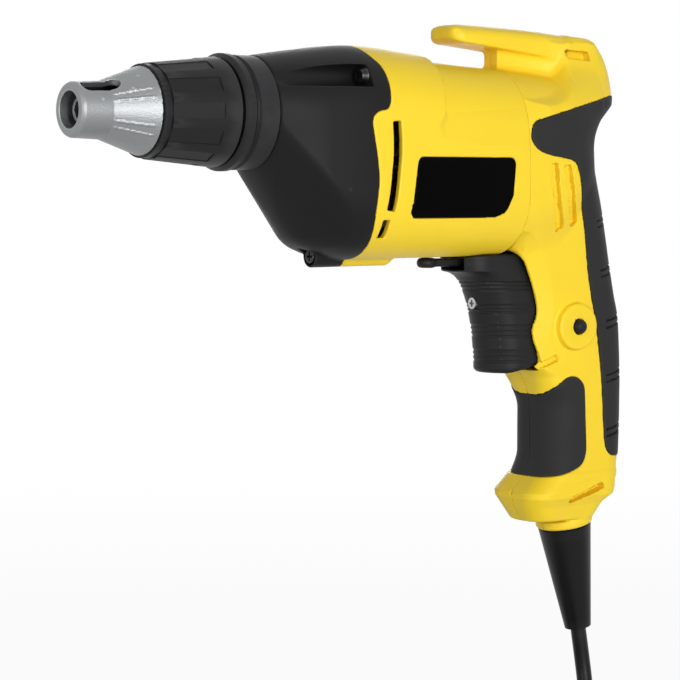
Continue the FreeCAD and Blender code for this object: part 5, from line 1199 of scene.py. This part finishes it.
def growPiece(name, kind, spots, values, finish, body, slot, *nodes, closed=False):
    seed = bpy.data.meshes.new(name + "Seed")
    count = len(spots)
    edges = [(i, (i + 1) % count) for i in range(count)] if closed else []
    seed.from_pydata([tuple(v * mm for v in spot) for spot in spots], edges, [])
    holder = bpy.data.objects.new(name + "Seed", seed)
    scene.collection.objects.link(holder)
    grow = holder.modifiers.new("grow", "NODES")
    grow.node_group = trees[kind]
    for item in trees[kind].interface.items_tree:
        if item.item_type == "SOCKET" and item.in_out == "INPUT":
            if item.name == "Finish":
                grow[item.identifier] = finishes[finish]
            elif item.name in values:
                grow[item.identifier] = values[item.name]
    bpy.context.view_layer.update()
    ready = holder.evaluated_get(bpy.context.evaluated_depsgraph_get())
    mesh = bpy.data.meshes.new_from_object(ready)
    mesh.name = name
    holder.modifiers.remove(grow)
    bpy.data.objects.remove(holder)
    bpy.data.meshes.remove(seed)
    mesh.polygons.foreach_set("use_smooth", np.ones(len(mesh.polygons), bool))
    mesh.set_sharp_from_angle(angle=math.radians(meshSet["sharpAngle"]))
    print(name, "points", len(mesh.vertices), "faces", len(mesh.polygons))
    return placePiece(mesh, finish, body, slot, *nodes)


# sizes and cross are in the order of screwLabels
screwSet = {
    "gearCaseScrews": {"nodes": "gear_case_screws",
                       "spots": [(130.7, 22, 132.1), (130.7, -22, 132.1), (138.6, 0, 60.55)],
                       "sizes": (3.5, 2.7, 2.63, 1.8, 20.0, 14, 14.0, 0.2), "cross": (3.6, 0.85, 2.8),
                       "turn": (0, 90, 0), "finish": "blackSteel"},
    "handleScrews": {"nodes": "handle_screws", "spots": [(x, -9.1, z) for x, z in handleSet["screws"]],
                     "sizes": (2.8, 2.2, 1.9, 1.3, 18.0, 13, 13.0, 0.2), "cross": (2.9, 0.7, 2.2), "turn": (90, 0, 0),
                     "finish": "groundSteel"},
    "clampScrews": {"nodes": "clamp_screws", "spots": [(-5.3, 4.1, -31.95), (9.3, 4.1, -31.95)],
                    "sizes": (2.6, 2.0, 1.4, 1.2, 12.0, 9, 9.0, 0.2), "cross": (2.6, 0.65, 1.6), "turn": (0, 0, 0),
                    "finish": "groundSteel"},
}
screwLabels = ("Head Radius", "Head Top", "Head Height", "Shank Radius", "Shank Length", "Thread Turns",
               "Thread Length", "Thread Size", "Cross Long", "Cross Wide", "Cross Deep")
for name, spec in screwSet.items():
    values = {label: value * (1 if label == "Thread Turns" else mm)
              for label, value in zip(screwLabels, spec["sizes"] + spec["cross"])}
    values["Turn"] = tuple(math.radians(v) for v in spec["turn"])
    growPiece(name, "screw", spec["spots"], values, spec["finish"], "housing", "steel", spec["nodes"])

ballSet = {"count": 7, "front": (133.1, 7.5, 1.84), "rear": (26.9, 6.5, 1.34)}
values = {"Count": ballSet["count"]}
for word in ("front", "rear"):
    place, pitch, ball = ballSet[word]
    values[word.capitalize() + " Place"] = (place * mm, 0, barrelSet["motor"] * mm)
    values[word.capitalize() + " Pitch"] = pitch * mm
    values[word.capitalize() + " Ball"] = ball * mm
growPiece("bearingBalls", "ball", [(0, 0, 0)], values, "polishedSteel", "housing", "bearing_steel", "bearing_balls")

springSet = {"from": 147.75, "length": 6.9, "radius": 5.6, "wire": 0.45, "turns": 4.0, "seat": 147.3, "keep": 0.359}
spring = growPiece("clutchSpring", "spring", [(springSet["from"], 0, barrelSet["spindle"])],
                   {"Turns": springSet["turns"], "Radius": springSet["radius"] * mm, "Length": springSet["length"] * mm,
                    "Wire": springSet["wire"] * mm, "Turn": (0, math.pi / 2, 0)},
                   "groundSteel", "gear", "steel", "clutch_spring")
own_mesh(spring)

# one armature coil runs down a slot, over the end and back five slots on
armatureSet = {"coils": 12, "span": 5, "front": 108.6, "rear": 58.6, "outer": 11.6, "inner": 9.4, "over": 9.0,
               "lead": 3, "bulge": 1.5, "steps": 10, "wire": 0.36, "rows": 3, "columns": 3, "pitch": 0.72}
fieldCoilSet = {"coils": 2, "front": 107.6, "rear": 60.2, "radius": 18.4, "spread": 54.0, "steps": 12,
                "wire": 0.42, "rows": 6, "columns": 6, "pitch": 0.84}


def aroundSpot(x, radius, degrees):
    angle = math.radians(degrees)
    return (x, radius * math.sin(angle), radius * math.cos(angle))


def armaturePath():
    a = armatureSet
    span, steps = 360 / a["coils"] * a["span"], a["steps"]
    front, rear = a["front"] - a["lead"], a["rear"] + a["lead"]
    over = [a["over"] + a["bulge"] * abs(i / steps - 0.5) for i in range(steps)]
    line = [aroundSpot(rear, a["outer"], 0), aroundSpot(front, a["outer"], 0)]
    line += [aroundSpot(a["front"], over[i], span * i / steps) for i in range(1, steps)]
    line += [aroundSpot(front, a["inner"], span), aroundSpot(rear, a["inner"], span)]
    line += [aroundSpot(a["rear"], over[i], span * (1 - i / steps)) for i in range(1, steps)]
    return softLine(line, rounds=1)


def fieldPath():
    c = fieldCoilSet
    line = []
    for end, way in ((c["front"], 1), (c["rear"], -1)):
        for i in range(c["steps"] + 1):
            line.append(aroundSpot(end, c["radius"], way * c["spread"] * (1 - 2 * i / c["steps"])))
    return softLine(line)


for name, spec, path, body, node in (
        ("armatureWindings", armatureSet, armaturePath(), "armature", "armature_windings"),
        ("fieldWindings", fieldCoilSet, fieldPath(), "housing", "field_coils")):
    growPiece(name, "winding", path,
              {"Wire": spec["wire"] * mm, "Rows": spec["rows"], "Columns": spec["columns"], "Coils": spec["coils"],
               "Step": 2 * math.pi / spec["coils"], "Deep": spec["pitch"] * (spec["rows"] - 1) * mm,
               "Wide": spec["pitch"] * (spec["columns"] - 1) * mm, "Centre": (0, 0, barrelSet["motor"] * mm)},
              "coilEnamel", body, "copper", node, closed=True)
print("screws, balls, spring and windings made")


# CAD nodes that keep their shape get their finish
nodeFinish = {
    "gearBlack": ["bearing_plate"],
    "darkPlastic": ["depth_collar", "nose_adapter", "cooling_fan", "brush_holders",
                    "switch_module", "switch_plunger", "cord_clamp", "plug_body"],
    "cordJacket": ["cord_guard", "adapter_oring", "cord_tie"],
    "groundSteel": ["armature_shaft", "drive_gear", "spindle", "thrust_washer", "bit_holder", "speed_screw",
                    "brush_springs"],
    "polishedSteel": ["front_bearing_outer", "front_bearing_inner", "rear_bearing_outer", "rear_bearing_inner",
                      "bit_magnet"],
    "stackedSheet": ["armature_core", "stator_core"],
    "turnedCopper": ["commutator"],
    "oiledBronze": ["gear_bush", "spindle_bush"],
    "pressedCarbon": ["carbon_brushes"],
    "plainBrass": ["plug_pins"],
}
for finish, names in nodeFinish.items():
    for name in names:
        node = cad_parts[name]
        node.data.materials.clear()
        node.data.materials.append(finishes[finish])
print("finishes placed")


# studio: soft lamps, pale floor, white surround; each lamp has its place, aim, size and power
lampSet = [
    ("keyLamp", (0.35, 1.40, 0.14), (0.06, 0.0, 0.06), 0.9, 17.0),
    ("fillLamp", (1.45, 0.40, 0.08), (0.08, 0.0, 0.05), 1.0, 6.0),
    ("topLamp", (-0.1, -0.1, 1.3), (0.06, 0.0, 0.05), 1.2, 0.5),
    ("backLamp", (-0.9, -1.2, 0.35), (0.06, 0.0, 0.05), 1.0, 11.0),
]
studioSet = {"ambient": 0.18, "floorLevel": -161.65, "floorSize": 12.0, "floorGrey": 0.86, "floorRough": 0.9,
             "floorWhite": (0.91, 0.45, 1.1)}  # share near the part, then where it fades to white


def makeStudio():
    for name, place, aim, size, power in lampSet:
        data = bpy.data.lights.new(name, "AREA")
        data.shape = "SQUARE"
        data.size = size
        data.energy = power
        lamp = bpy.data.objects.new(name, data)
        lamp.location = place
        lamp.rotation_euler = (Vector(aim) - Vector(place)).to_track_quat("-Z", "Y").to_euler()
        scene.collection.objects.link(lamp)
    world = bpy.data.worlds.new("studioSurround")
    world.use_nodes = True
    tree = world.node_tree
    back = tree.nodes["Background"]
    back.inputs["Color"].default_value = (1, 1, 1, 1)
    part = mathNode(tree, "MULTIPLY", seenDirectly(tree), 1 - studioSet["ambient"])
    feed(tree, back, Strength=mathNode(tree, "ADD", part, studioSet["ambient"]))
    scene.world = world
    half = studioSet["floorSize"] / 2
    level = studioSet["floorLevel"] * mm
    mesh = bpy.data.meshes.new("studioFloor")
    corners = [(x * half, y * half, level) for x, y in ((-1, -1), (1, -1), (1, 1), (-1, 1))]
    mesh.from_pydata(corners, [], [(0, 1, 2, 3)])
    floor = bpy.data.objects.new("studioFloor", mesh)
    scene.collection.objects.link(floor)
    material = bpy.data.materials.new("paleFloor")
    material.use_nodes = True
    tree = material.node_tree
    grey = studioSet["floorGrey"]
    shader = feed(tree, tree.nodes["Principled BSDF"], Base_Color=(grey, grey, grey, 1),
                  Roughness=studioSet["floorRough"])
    glow = feed(tree, addNode(tree, "ShaderNodeEmission"), Strength=1.0)
    near, start, end = studioSet["floorWhite"]
    reach = addNode(tree, "ShaderNodeVectorMath", operation="LENGTH")
    tree.links.new(objectSpot(tree), reach.inputs[0])
    fade = feed(tree, addNode(tree, "ShaderNodeMapRange"), Value=reach.outputs["Value"], From_Min=start, From_Max=end,
                To_Min=near, To_Max=1.0)
    share = mathNode(tree, "MULTIPLY", seenDirectly(tree), fade.outputs["Result"])
    blend = addNode(tree, "ShaderNodeMixShader")
    for slot, value in enumerate((share, shader.outputs[0], glow.outputs[0])):
        tree.links.new(value, blend.inputs[slot])
    tree.links.new(blend.outputs[0], tree.nodes["Material Output"].inputs["Surface"])
    mesh.materials.append(material)


makeStudio()
print("studio lit")
